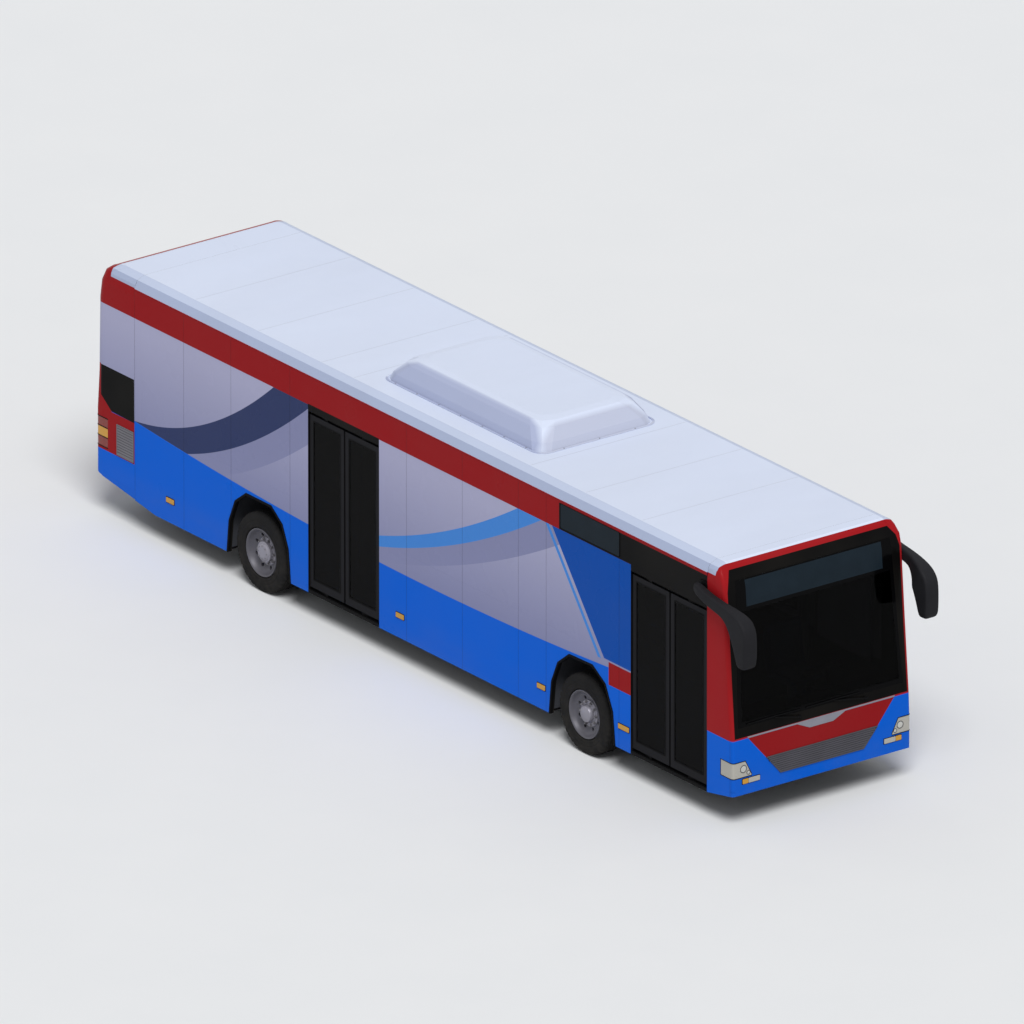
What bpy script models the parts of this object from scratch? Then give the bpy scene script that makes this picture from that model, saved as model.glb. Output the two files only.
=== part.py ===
"""Low-floor apron bus, right-hand doors, built as separate pieces with real joints.

Body coordinates: X forward with 0 at mid length, Y to the bus's left, Z up from
the ground. Every piece is moved back by half the mirror reach, so that the
middle of the whole outline is the origin.
"""
import math
from collections import namedtuple

import bmesh
import bpy
from mathutils import Matrix, Vector

# Whole vehicle, metres.
BODY_LENGTH = 11.98
BODY_WIDTH = 2.50
EAVE_Z = 2.95
ROOF_TOP = 3.085
SKIRT_Z = 0.305
MIRROR_REACH = 0.375
WALL = 0.05
ROOF_SKIN = 0.045
SEAT_GAP = 0.0004
HALF = BODY_LENGTH / 2
HW = BODY_WIDTH / 2
SHIFT = -MIRROR_REACH / 2

# Split planes between the end caps and the straight body.
FRONT_CAP_X = HALF - 0.48
REAR_CAP_X = -HALF + 0.735
MASK_Z = 1.06
REAR_SILL_Z = 0.80

# Running gear.
FRONT_AXLE_X = 3.19
REAR_AXLE_X = -2.895
TYRE_RADIUS = 0.478
TYRE_WIDTH = 0.275
TYRE_FACETS = 32
RIM_RADIUS = 0.29
TYRE_INSET = 0.02
TWIN_GAP = 0.055
TYRE_OUTER_Y = HW - TYRE_INSET
AXLE_Z = TYRE_RADIUS * math.cos(math.pi / TYRE_FACETS)
FRONT_WHEEL_Y = TYRE_OUTER_Y - TYRE_WIDTH / 2
INNER_WHEEL_Y = FRONT_WHEEL_Y - TYRE_WIDTH - TWIN_GAP
KINGPIN_INSIDE = 0.055
KINGPIN_Y = TYRE_OUTER_Y - TYRE_WIDTH - KINGPIN_INSIDE
KINGPIN_RADIUS = 0.035
DRUM_RADIUS = RIM_RADIUS - 0.09
STEER_ARM = 0.20
TIE_ROD_Z = 0.27
TIE_ROD_RADIUS = 0.0145
ARM_TOP = TIE_ROD_Z - TIE_ROD_RADIUS - SEAT_GAP
ARM_LOW = ARM_TOP - 0.024
BEAM_Z = 0.15
RAIL_Z = 0.205
RAIL_HALF_WIDTH = 0.04

# Floor, wells and rear platform.
FLOOR_TOP = 0.345
FLOOR_UNDER = SKIRT_Z + SEAT_GAP
WELL_CLEAR = 0.075
WELL_INNER_Y = INNER_WHEEL_Y - TYRE_WIDTH / 2 - WELL_CLEAR
RAIL_Y = WELL_INNER_Y - 0.13
WELL_TOP = 1.17
WELL_HALF = 0.63
WELL_SKIN = 0.02
PLATFORM_X = -3.95
PLATFORM_TOP = 1.10
PLATFORM_SKIN = 0.04

# Doors, all on the right side.
DOOR_TOP = 2.475
DOOR_BOTTOM = 0.38
HEADER_Z = 2.515
LEAF_THICK = 0.035
LEAF_RECESS = 0.015
LEAF_Y = -(HW - LEAF_RECESS - LEAF_THICK / 2)
LEAF_FRAME = 0.07
JAMB_CLEAR = 0.012
CENTRE_GAP = 0.030
PILLAR_IN = 0.060
PILLAR_BEHIND = 0.030
PILLAR_RADIUS = 0.016
ARM_WIDTH = 0.030

# Windows and glass.
WINDOW_LOW = 1.36
WINDOW_HIGH = 2.59
WINDOW_POST = 0.09
GLASS = 0.008
PANE_LIP = 0.03

Door = namedtuple("Door", "name low high")
DOORS = (
    Door("front_door", 4.10, FRONT_CAP_X),
    Door("middle_door", -1.953, -0.619),
)

# Arch outlines as (offset from the axle, height).
FRONT_ARCH = ((-0.592, SKIRT_Z), (-0.550, 0.70), (-0.436, 0.958), (-0.233, 1.117),
              (0.194, 1.129), (0.421, 0.984), (0.555, 0.70), (0.600, SKIRT_Z))
REAR_ARCH = ((-0.585, SKIRT_Z), (-0.545, 0.70), (-0.435, 0.96), (-0.235, 1.112),
             (0.235, 1.112), (0.435, 0.96), (0.545, 0.70), (0.585, SKIRT_Z))

Strip = namedtuple("Strip", "name side low high bays")
STRIPS = (
    Strip("glazing_right_rear", -1, -5.13, -2.06, 3),
    Strip("glazing_right_front", -1, -0.50, 3.98, 4),
    Strip("glazing_left_rear", 1, -5.13, -0.62, 4),
    Strip("glazing_left_front", 1, -0.56, 3.98, 4),
)
DRIVER_WINDOW = (4.24, 5.34, 1.18, 2.42)

# Front and rear end shapes as (height, distance of the face behind the end, inset of the side).
End = namedtuple("End", "z back inset")
FRONT_UPPER = (
    End(MASK_Z + SEAT_GAP / 2, 0.015, 0.0), End(1.90, 0.087, 0.0), End(2.79, 0.160, 0.0),
    End(2.917, 0.190, 0.004), End(EAVE_Z + 0.053, 0.262, 0.018),
    End(EAVE_Z + 0.095, 0.292, 0.042), End(ROOF_TOP, 0.345, 0.135),
)
FRONT_LOWER = (
    End(0.38, 0.075, 0.055), End(0.444, 0.0, 0.0), End(0.76, -0.0, 0.0),
    End(MASK_Z - SEAT_GAP / 2, 0.013, 0.0),
)
REAR_UPPER = (
    End(REAR_SILL_Z + SEAT_GAP / 2, 0.0, 0.0), End(1.75, 0.0, 0.0), End(2.65, 0.020, 0.0),
    End(2.86, 0.050, 0.004), End(EAVE_Z + 0.040, 0.115, 0.016),
    End(EAVE_Z + 0.095, 0.190, 0.042), End(ROOF_TOP, 0.320, 0.135),
)
REAR_LOWER = (
    End(SKIRT_Z - 0.05, 0.02, 0.02), End(0.50, 0.0, 0.0), End(REAR_SILL_Z - SEAT_GAP / 2, 0.0, 0.0),
)
SCREEN = (1.19, 2.90, HW - 0.095, HW - 0.165)

# Air slots as (start, end, lowest, highest, number); the front ones narrow toward the ground.
Slots = namedtuple("Slots", "low high bottom top count")
CORNER_GRILLE = Slots(-HALF + 0.400, -HALF + 0.705, 0.835, 1.175, 7)
FRONT_GRILLE = Slots(HW - 0.675, HW - 0.505, 0.560, 0.745, 4)
LID_SIDE = 0.32
LID_HALF = HW - LID_SIDE
LID_GRILLE = Slots(-LID_HALF + 0.21, LID_HALF - 0.21, 0.92, 1.24, 6)
LID_TOP = 1.72
LID_CLEAR = 0.006
LID_THICK = 0.04
REAR_GLASS = (1.92, 2.62, HW - 0.27)


def clear_scene():
    """Remove every object that the start-up file brings."""
    for item in list(bpy.data.objects):
        bpy.data.objects.remove(item, do_unlink=True)


def paint(name, colour, rough=0.5, metal=0.0):
    """Return a plain Principled material."""
    material = bpy.data.materials.new(name)
    material.use_nodes = True
    shader = material.node_tree.nodes["Principled BSDF"]
    shader.inputs["Base Color"].default_value = (*colour, 1.0)
    shader.inputs["Roughness"].default_value = rough
    shader.inputs["Metallic"].default_value = metal
    return material


def piece(name, points, faces, material, origin=(0.0, 0.0, 0.0), helper=False):
    """Make one object from body coordinates, with its origin at the given point."""
    base = Vector(origin)
    mesh = bpy.data.meshes.new(name)
    mesh.from_pydata([tuple(Vector(p) - base) for p in points], [], faces)
    mesh.update()
    shell = bmesh.new()
    shell.from_mesh(mesh)
    bmesh.ops.recalc_face_normals(shell, faces=shell.faces)
    shell.to_mesh(mesh)
    shell.free()
    thing = bpy.data.objects.new(name, mesh)
    bpy.context.collection.objects.link(thing)
    thing.location = base + Vector((SHIFT, 0.0, 0.0))
    if material is not None:
        mesh.materials.append(material)
    if helper:
        thing.hide_render = True
        thing.display_type = 'WIRE'
    return thing


def rings(loops, close=False):
    """Return points and faces for a loft through loops of equal length."""
    count = len(loops[0])
    points = [p for loop in loops for p in loop]
    faces = []
    spans = len(loops) if close else len(loops) - 1
    for i in range(spans):
        a = i * count
        b = ((i + 1) % len(loops)) * count
        for j in range(count):
            k = (j + 1) % count
            faces.append((a + j, a + k, b + k, b + j))
    if not close:
        faces.append(tuple(range(count)))
        faces.append(tuple(range((len(loops) - 1) * count, len(loops) * count)))
    return points, faces


def loft(name, loops, material, **options):
    """Make a closed solid through the loops."""
    points, faces = rings(loops)
    return piece(name, points, faces, material, **options)


def prism_y(name, outline, low, high, material, **options):
    """Extrude an outline in X and Z across the width."""
    loops = [[(x, y, z) for x, z in outline] for y in (low, high)]
    return loft(name, loops, material, **options)


def prism_x(name, outline, low, high, material, **options):
    """Extrude an outline in Y and Z along the length."""
    loops = [[(x, y, z) for y, z in outline] for x in (low, high)]
    return loft(name, loops, material, **options)


def prism_z(name, outline, low, high, material, **options):
    """Extrude an outline in X and Y upward."""
    loops = [[(x, y, z) for x, y in outline] for z in (low, high)]
    return loft(name, loops, material, **options)


def block(name, x, y, z, material, **options):
    """Make a plain box from three ranges."""
    outline = ((x[0], z[0]), (x[1], z[0]), (x[1], z[1]), (x[0], z[1]))
    return prism_y(name, outline, y[0], y[1], material, **options)


def turned(name, profile, centre, facets, material, helper=False):
    """Revolve (radius, offset along Y) points round the wheel axis through the centre."""
    loops = []
    for i in range(facets):
        angle = 2 * math.pi * (i + 0.5) / facets
        loops.append([(centre[0] + r * math.sin(angle), centre[1] + w, centre[2] - r * math.cos(angle))
                      for r, w in profile])
    points, faces = rings(loops, close=True)
    return piece(name, points, faces, material, origin=centre, helper=helper)


def rod(name, start, end, radius, material, sides=12, **options):
    """Make a straight round bar between two points."""
    a, b = Vector(start), Vector(end)
    turn = (b - a).to_track_quat('Z', 'Y').to_matrix()
    loops = []
    for p in (a, b):
        loops.append([p + turn @ Vector((radius * math.cos(2 * math.pi * i / sides),
                                         radius * math.sin(2 * math.pi * i / sides), 0.0))
                      for i in range(sides)])
    return loft(name, loops, material, **options)


def combine(target, tools, mode):
    """Add one exact boolean for each tool and keep the tool as a hidden helper."""
    for tool in tools:
        step = target.modifiers.new(tool.name, 'BOOLEAN')
        step.operation = mode
        step.solver = 'EXACT'
        step.object = tool
        tool.hide_render = True
        tool.display_type = 'WIRE'
    return target


def soften(target, width, segments=2, angle=0.6):
    """Round the sharp edges of a piece."""
    step = target.modifiers.new("edge", 'BEVEL')
    step.width = width
    step.segments = segments
    step.limit_method = 'ANGLE'
    step.angle_limit = angle
    return target


def cap_loop(split, face, half, z, sign, inward=0.0):
    """Return one plan outline of an end cap; sign is 1 at the front and -1 at the rear."""
    face -= sign * inward
    half -= inward
    corner = ((0.13, 0.0), (0.055, 0.012), (0.014, 0.040), (0.0, 0.095))
    side = [(split, half)]
    side += [(face - sign * dx, half - dy) for dx, dy in corner]
    return [(x, y, z) for x, y in side] + [(x, -y, z) for x, y in reversed(side)]


def cap_solid(name, levels, split, sign, material, inward=0.0, drop=0.0, rise=0.0, helper=False):
    """Loft the outer or the inset inner solid of an end cap."""
    first, last = levels[0], levels[-1]
    low_slope = (levels[1].back - first.back) / (levels[1].z - first.z)
    high_slope = (last.back - levels[-2].back) / (last.z - levels[-2].z)
    ends = {0: (-drop, -drop * low_slope), len(levels) - 1: (rise, rise * high_slope)}
    loops = []
    for i, level in enumerate(levels):
        lift, back = ends.get(i, (0.0, 0.0))
        face = sign * (HALF - level.back - back)
        loops.append(cap_loop(split, face, HW - level.inset, level.z + lift, sign, inward))
    return loft(name, loops, material, helper=helper)


def hollow_levels(levels, depth):
    """Return the levels of the inner solid of a cap that is closed at its top."""
    top = levels[-1].z - depth
    kept = [level for level in levels if level.z < top - 0.02]
    last = kept[-1]
    kept.append(End(top, last.back + 0.5 * (top - last.z), last.inset + 0.3 * (top - last.z)))
    return kept


def arch_points(axle_x, arch):
    """Return the arch outline in body coordinates, from rear to front."""
    return [(axle_x + dx, z) for dx, z in arch]


def wall_outline(doors):
    """Return the side wall outline in X and Z, without the window holes."""
    low_rear = SKIRT_Z + 0.16 * (-4.87 - REAR_CAP_X)
    points = [(REAR_CAP_X + SEAT_GAP, low_rear), (-4.87, SKIRT_Z)]
    points += arch_points(REAR_AXLE_X, REAR_ARCH)
    if doors:
        door = DOORS[1]
        points += [(door.low, SKIRT_Z), (door.low, HEADER_Z), (door.high, HEADER_Z), (door.high, SKIRT_Z)]
    points += arch_points(FRONT_AXLE_X, FRONT_ARCH)
    if doors:
        points += [(DOORS[0].low, SKIRT_Z), (DOORS[0].low, HEADER_Z), (FRONT_CAP_X - SEAT_GAP, HEADER_Z)]
    else:
        points += [(FRONT_CAP_X - SEAT_GAP, SKIRT_Z)]
    points += [(FRONT_CAP_X - SEAT_GAP, EAVE_Z - SEAT_GAP / 2), (REAR_CAP_X + SEAT_GAP, EAVE_Z - SEAT_GAP / 2)]
    return points


def side_wall(name, side, material):
    """Make one side wall with its arches, doors, glass rebates and window holes."""
    outer, inner = side * HW, side * (HW - WALL)
    wall = prism_y(name, wall_outline(side < 0), inner, outer, material)
    cuts = []
    openings = [(s.low, s.high, WINDOW_LOW, WINDOW_HIGH, s.bays) for s in STRIPS if s.side == side]
    if side > 0:
        openings.append((*DRIVER_WINDOW, 1))
    for n, (low, high, bottom, top, bays) in enumerate(openings):
        rebate = sorted((outer + side * 0.02, outer - side * (GLASS + SEAT_GAP)))
        cuts.append(block(f"{name}_rebate_{n}", (low, high), rebate, (bottom, top), None, helper=True))
        pitch = (high - low - PANE_LIP * 2 + WINDOW_POST) / bays
        through = sorted((inner - side * 0.02, outer + side * 0.02))
        for k in range(bays):
            start = low + PANE_LIP + k * pitch
            cuts.append(block(f"{name}_hole_{n}_{k}", (start, start + pitch - WINDOW_POST), through,
                              (bottom + PANE_LIP, top - PANE_LIP), None, helper=True))
    return combine(wall, cuts, 'DIFFERENCE')


def glazing(material):
    """Make the flush side glass."""
    panes = [(s.name, s.side, s.low, s.high, WINDOW_LOW, WINDOW_HIGH) for s in STRIPS]
    panes.append(("driver_window", 1, *DRIVER_WINDOW))
    for name, side, low, high, bottom, top in panes:
        g = SEAT_GAP
        depth = sorted((side * HW, side * (HW - GLASS)))
        block(name, (low + g, high - g), depth, (bottom + g, top - g), material)


def roof(material):
    """Make the roof shell between the two end caps."""
    low = EAVE_Z + SEAT_GAP / 2
    half = [(HW, low), (HW - 0.042, EAVE_Z + 0.095), (HW - 0.135, ROOF_TOP)]
    inner = [(HW - 0.175, ROOF_TOP - ROOF_SKIN), (HW - 0.090, EAVE_Z + 0.058), (HW - WALL, low)]
    outline = half + [(-y, z) for y, z in reversed(half)]
    outline += [(-y, z) for y, z in reversed(inner)] + inner
    return prism_x("roof_shell", outline, REAR_CAP_X + SEAT_GAP, FRONT_CAP_X - SEAT_GAP, material)


def rounded(x, y, z, corner):
    """Return a plan loop with clipped corners at one height."""
    x0, x1 = x
    y0, y1 = y
    c = corner
    d = corner * 0.3
    plan = [(x0 + c, y0), (x1 - c, y0), (x1 - d, y0 + d), (x1, y0 + c), (x1, y1 - c), (x1 - d, y1 - d),
            (x1 - c, y1), (x0 + c, y1), (x0 + d, y1 - d), (x0, y1 - c), (x0, y0 + c), (x0 + d, y0 + d)]
    return [(px, py, z) for px, py in plan]


ROOF_UNIT_TOP = 3.37
RoofLevel = namedtuple("RoofLevel", "rise x0 x1 half corner")
ROOF_UNIT = (
    RoofLevel(0.0, -1.11, 1.84, 0.82, 0.16), RoofLevel(0.32, -1.07, 1.80, 0.79, 0.17),
    RoofLevel(0.78, -0.95, 1.70, 0.71, 0.20), RoofLevel(0.95, -0.86, 1.62, 0.65, 0.20),
    RoofLevel(1.0, -0.76, 1.52, 0.56, 0.20),
)


def roof_unit(material):
    """Make the hollow roof cooling unit, open where it sits on the roof."""
    base = ROOF_TOP + SEAT_GAP
    tall = ROOF_UNIT_TOP - base
    loops = [rounded((r.x0, r.x1), (-r.half, r.half), base + tall * r.rise, r.corner) for r in ROOF_UNIT]
    shell = loft("roof_unit", loops, material)
    inset = 0.03
    core = [rounded((r.x0 + inset, r.x1 - inset), (-r.half + inset, r.half - inset),
                    base - 0.02 + (tall - 0.03) * r.rise, r.corner) for r in ROOF_UNIT[:4]]
    return combine(shell, [loft("roof_unit_core", core, None, helper=True)], 'DIFFERENCE')


LAMP_X = HALF - 0.223
Lamp = namedtuple("Lamp", "top_inset low_inset bottom knee top")
LAMP = Lamp(0.177, 0.264, 0.60, 0.622, 0.79)
TAIL = (-HALF - 0.02, -HALF + 0.216, 0.834, 1.19, HW - 0.12)


def lamp_outline(side, gap):
    """Return the headlamp outline in Y and Z for one side, drawn in by the gap."""
    points = ((HW - LAMP.top_inset + gap, LAMP.top - gap), (HW - LAMP.low_inset + gap, LAMP.knee),
              (HW - LAMP.low_inset + gap, LAMP.bottom + gap), (HW + 0.02, LAMP.bottom + gap),
              (HW + 0.02, LAMP.top - gap))
    return [(side * y, z) for y, z in points]


def clipped(name, levels, split, sign, depth, limit, material, drop=0.0, extra=()):
    """Make a skin piece: the outer cap solid less an inset one, kept inside the limit solid."""
    levels = [level for level in levels if level.z < ROOF_TOP - 0.01]
    skin = cap_solid(name, levels, split, sign, material)
    core = cap_solid(name + "_core", levels, split - sign * 0.2, sign, None, inward=depth, drop=0.1, rise=0.1,
                     helper=True)
    combine(skin, [core], 'DIFFERENCE')
    combine(skin, [limit], 'INTERSECT')
    return combine(skin, list(extra), 'DIFFERENCE')


def front_end(body, glass, lamp):
    """Make the mask round the windscreen, the lower front, the windscreen and the headlamps."""
    g = SEAT_GAP
    low, high, half_low, half_high = SCREEN
    mask = cap_solid("front_mask", FRONT_UPPER, FRONT_CAP_X, 1, body)
    inner = cap_solid("front_mask_core", hollow_levels(FRONT_UPPER, WALL), FRONT_CAP_X - 0.2, 1, None,
                      inward=WALL, drop=0.1, helper=True)
    outline = [(-half_low, low), (half_low, low), (half_high, high), (-half_high, high)]
    hole = prism_x("screen_hole", outline, FRONT_CAP_X + 0.08, HALF + 0.1, None, helper=True)
    combine(mask, [inner, hole], 'DIFFERENCE')

    fit = [(-half_low + g, low + g), (half_low - g, low + g), (half_high - g, high - g),
           (-half_high + g, high - g)]
    limit = prism_x("screen_limit", fit, FRONT_CAP_X + 0.1, HALF + 0.1, None, helper=True)
    clipped("windscreen", FRONT_UPPER, FRONT_CAP_X, 1, 0.012, limit, glass)

    lower = cap_solid("front_bumper", FRONT_LOWER, FRONT_CAP_X, 1, body)
    core = cap_solid("front_bumper_core", FRONT_LOWER, FRONT_CAP_X - 0.2, 1, None, inward=WALL,
                     drop=0.1, rise=0.1, helper=True)
    combine(lower, [core], 'DIFFERENCE')
    for n, outline in enumerate(slot_rows(FRONT_GRILLE, HALF + 0.01, HALF - WALL - 0.01)):
        share = n / (FRONT_GRILLE.count - 1)
        half = FRONT_GRILLE.low + share * (FRONT_GRILLE.high - FRONT_GRILLE.low)
        combine(lower, [prism_y(f"front_slot_{n}", outline, -half, half, None, helper=True)], 'DIFFERENCE')
    for side, label in ((-1, "right"), (1, "left")):
        pocket = prism_x(f"lamp_pocket_{label}", lamp_outline(side, 0.0), LAMP_X, HALF + 0.1, None, helper=True)
        combine(lower, [pocket], 'DIFFERENCE')
        keep = prism_x(f"lamp_limit_{label}", lamp_outline(side, g), LAMP_X + g, HALF + 0.1, None, helper=True)
        clipped(f"headlamp_{label}", FRONT_LOWER, FRONT_CAP_X, 1, 0.045, keep, lamp)


def rear_end(body, glass, lamp, dark):
    """Make the rear frame, its window, the engine lid, the lower rear and the tail lamps."""
    g = SEAT_GAP
    frame = cap_solid("rear_frame", REAR_UPPER, REAR_CAP_X, -1, body)
    inner = cap_solid("rear_frame_core", hollow_levels(REAR_UPPER, WALL), REAR_CAP_X + 0.2, -1, None,
                      inward=WALL, drop=0.1, helper=True)
    low, high, half = REAR_GLASS
    hole = block("rear_hole", (-HALF - 0.1, REAR_CAP_X - 0.2), (-half, half), (low, high), None, helper=True)
    lid_hole = block("lid_hole", (-HALF - 0.1, REAR_CAP_X - 0.2), (-LID_HALF, LID_HALF),
                     (REAR_SILL_Z - 0.1, LID_TOP), None, helper=True)
    combine(frame, [inner, hole, lid_hole], 'DIFFERENCE')
    pads = []
    for side in (-1, 1):
        span = sorted((side * (LID_HALF - 0.04), side * (LID_HALF + 0.04)))
        for z in (0.98, 1.44):
            pads.append(block(f"lid_stop_{side}_{z}", (-HALF + LID_THICK + g, -HALF + LID_THICK + 0.03), span,
                              (z, z + 0.06), None, helper=True))
    combine(frame, pads, 'UNION')
    limit = block("rear_glass_limit", (-HALF - 0.1, REAR_CAP_X - 0.2), (-half + g, half - g),
                  (low + g, high - g), None, helper=True)
    clipped("rear_window", REAR_UPPER, REAR_CAP_X, -1, 0.012, limit, glass)

    c = LID_CLEAR
    lid_limit = block("lid_limit", (-HALF - 0.1, REAR_CAP_X - 0.2), (-LID_HALF + c, LID_HALF - c),
                      (REAR_SILL_Z + c, LID_TOP - c), None, helper=True)
    slots = []
    for n, outline in enumerate(slot_rows(LID_GRILLE, -HALF - 0.01, -HALF + LID_THICK + 0.01)):
        slots.append(prism_y(f"lid_slot_{n}", outline, LID_GRILLE.low, LID_GRILLE.high, None, helper=True))
    lid = clipped("engine_lid", REAR_UPPER, REAR_CAP_X, -1, LID_THICK, lid_limit, body, extra=slots)
    move_origin(lid, LID_AXIS)

    lower = cap_solid("rear_bumper", REAR_LOWER, REAR_CAP_X, -1, body)
    core = cap_solid("rear_bumper_core", REAR_LOWER, REAR_CAP_X + 0.2, -1, None, inward=WALL,
                     drop=0.1, rise=0.1, helper=True)
    ramp_end = SKIRT_Z + 0.165
    wedge = prism_y("rear_ramp", ((REAR_CAP_X + 0.2, SKIRT_Z - 0.3), (-HALF - 0.2, SKIRT_Z - 0.3),
                                  (-HALF - 0.2, SKIRT_Z + 0.30), (-HALF + 0.09, ramp_end),
                                  (-4.87, SKIRT_Z), (REAR_CAP_X + 0.2, SKIRT_Z - 0.01)),
                    -HW - 0.1, HW + 0.1, None, helper=True)
    combine(lower, [core, wedge], 'DIFFERENCE')
    x0, x1, z0, z1, inside = TAIL
    for side, label in ((-1, "right"), (1, "left")):
        span = sorted((side * inside, side * (HW + 0.05)))
        pocket = block(f"tail_pocket_{label}", (x0, x1), span, (z0, z1), None, helper=True)
        combine(frame, [pocket], 'DIFFERENCE')
        rows = slot_rows(CORNER_GRILLE, side * (HW + 0.01), side * (HW - WALL - 0.01))
        combine(frame, [prism_x(f"corner_slot_{label}_{n}", outline, CORNER_GRILLE.low, CORNER_GRILLE.high, None,
                                helper=True) for n, outline in enumerate(rows)], 'DIFFERENCE')
        span = sorted((side * (inside + g), side * (HW + 0.05)))
        keep = block(f"tail_limit_{label}", (x0, x1 - g), span, (z0 + g, z1 - g), None, helper=True)
        clipped(f"tail_lamp_{label}", REAR_UPPER, REAR_CAP_X, -1, 0.04, keep, lamp)




def slot_rows(grille, outer, inner):
    """Return the outlines of rising air slots, from the outer to the inner face of a panel."""
    pitch = (grille.top - grille.bottom) / grille.count
    rows = []
    for n in range(grille.count):
        z = grille.bottom + n * pitch
        rows.append(((outer, z), (outer, z + pitch * 0.45), (inner, z + pitch * 0.80), (inner, z + pitch * 0.35)))
    return rows


LID_AXIS = (-HALF, 0.0, LID_TOP - LID_CLEAR / 2)


def move_origin(thing, origin):
    """Put the origin of a piece on its joint without moving the piece."""
    step = Vector(origin) + Vector((SHIFT, 0.0, 0.0)) - thing.location
    thing.data.transform(Matrix.Translation(-step))
    thing.location += step


def floor(material):
    """Make the low floor with sills, wheel wells and the raised rear platform."""
    g = SEAT_GAP
    inside = HW - WALL - g
    slab = block("floor_platform", (PLATFORM_X, FRONT_CAP_X + 0.12), (-inside, inside),
                 (FLOOR_UNDER, FLOOR_TOP), material)
    adds = []
    for door in DOORS:
        adds.append(block(door.name + "_sill", (door.low + g, door.high - 0.01), (-HW + 0.002, -inside + 0.02),
                          (FLOOR_UNDER, FLOOR_TOP), None, helper=True))
    cuts = []
    for axle, label in ((FRONT_AXLE_X, "front"), (REAR_AXLE_X, "rear")):
        for side, hand in ((-1, "right"), (1, "left")):
            y = sorted((side * (WELL_INNER_Y - WELL_SKIN), side * inside))
            adds.append(block(f"well_{label}_{hand}", (axle - WELL_HALF - WELL_SKIN, axle + WELL_HALF + WELL_SKIN),
                              y, (FLOOR_UNDER, WELL_TOP + WELL_SKIN), None, helper=True))
            y = sorted((side * WELL_INNER_Y, side * (HW + 0.05)))
            cuts.append(block(f"well_space_{label}_{hand}", (axle - WELL_HALF, axle + WELL_HALF), y,
                              (FLOOR_UNDER - 0.1, WELL_TOP), None, helper=True))
    adds.append(block("platform_top", (REAR_CAP_X + 0.02, PLATFORM_X + 0.02), (-inside, inside),
                      (PLATFORM_TOP - PLATFORM_SKIN, PLATFORM_TOP), None, helper=True))
    adds.append(block("platform_riser", (PLATFORM_X - 0.02, PLATFORM_X + 0.02), (-inside, inside),
                      (FLOOR_UNDER, PLATFORM_TOP - 0.01), None, helper=True))
    adds.append(block("platform_step", (PLATFORM_X, PLATFORM_X + 0.32), (-0.42, 0.42),
                      (FLOOR_TOP - 0.01, (FLOOR_TOP + PLATFORM_TOP) / 2), None, helper=True))
    combine(slab, adds, 'UNION')
    return combine(slab, cuts, 'DIFFERENCE')


def chassis(material):
    """Make the ladder frame with its cross members and four lifting pads."""
    g = SEAT_GAP
    top = SKIRT_Z
    width = RAIL_HALF_WIDTH
    notch_low = TIE_ROD_Z - 0.023
    x_notch = (FRONT_AXLE_X - STEER_ARM - 0.06, FRONT_AXLE_X - STEER_ARM + 0.12)
    rear, front = -HALF + 0.35, HALF - 0.55
    outline = [(rear, RAIL_Z), (front, RAIL_Z), (front, top), (x_notch[1], top), (x_notch[1], notch_low),
               (x_notch[0], notch_low), (x_notch[0], top), (rear, top)]
    frame = prism_y("chassis_frame", outline, RAIL_Y - width, RAIL_Y + width, material)
    tools = [prism_y("rail_right", outline, -RAIL_Y - width, -RAIL_Y + width, None, helper=True)]
    for n, x in enumerate((rear + 0.06, -4.55, -3.45, -2.35, -1.25, -0.15, 0.95, 2.05, 3.17, 4.25, front - 0.06)):
        tools.append(block(f"cross_{n}", (x - 0.05, x + 0.05), (-RAIL_Y - 0.02, RAIL_Y + 0.02),
                           (RAIL_Z + 0.02, top), None, helper=True))
    for n, (x, side) in enumerate(((4.2, 1), (4.2, -1), (-1.6, 1), (-1.6, -1))):
        y = sorted((side * (RAIL_Y - width), side * (RAIL_Y + 0.10)))
        tools.append(block(f"pad_{n}", (x - 0.09, x + 0.09), y, (RAIL_Z - 0.015, RAIL_Z + 0.05), None,
                           helper=True))
    return combine(frame, tools, 'UNION')


def axles(material):
    """Make the dropped front and rear axle beams."""
    top = RAIL_Z - SEAT_GAP
    knuckle_top = AXLE_Z + 0.115
    half = [(0.0, BEAM_Z), (KINGPIN_Y + KINGPIN_RADIUS, BEAM_Z), (KINGPIN_Y + KINGPIN_RADIUS, top - 0.012),
            (KINGPIN_Y - 0.06, top - 0.012), (KINGPIN_Y - 0.08, top), (KINGPIN_Y - 0.08, knuckle_top), (KINGPIN_Y + KINGPIN_RADIUS, knuckle_top),
            (KINGPIN_Y + KINGPIN_RADIUS, knuckle_top + 0.03), (KINGPIN_Y - 0.12, knuckle_top + 0.03),
            (KINGPIN_Y - 0.12, top + 0.03), (KINGPIN_Y - 0.15, top), (0.0, top)]
    outline = half[1:-1] + [(-y, z) for y, z in reversed(half[1:-1])]
    front = prism_x("front_axle", outline, FRONT_AXLE_X - 0.05, FRONT_AXLE_X + 0.05, material)
    inner = INNER_WHEEL_Y - TYRE_WIDTH / 2
    half = [(inner - 0.012, BEAM_Z), (inner - 0.012, AXLE_Z + 0.11), (WELL_INNER_Y + 0.008, AXLE_Z + 0.11),
            (WELL_INNER_Y + 0.008, top + 0.03), (WELL_INNER_Y - 0.02, top)]
    outline = half + [(-y, z) for y, z in reversed(half)]
    rear = prism_x("rear_axle", outline, REAR_AXLE_X - 0.09, REAR_AXLE_X + 0.09, material)
    spindles = []
    for side, hand in ((-1, "right"), (1, "left")):
        spindles.append(rod(f"rear_spindle_{hand}", (REAR_AXLE_X, side * (inner - 0.02), AXLE_Z),
                            (REAR_AXLE_X, side * (FRONT_WHEEL_Y + 0.0195), AXLE_Z), 0.075, None, 16, helper=True))
    combine(rear, spindles, 'UNION')
    return front, rear


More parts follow.
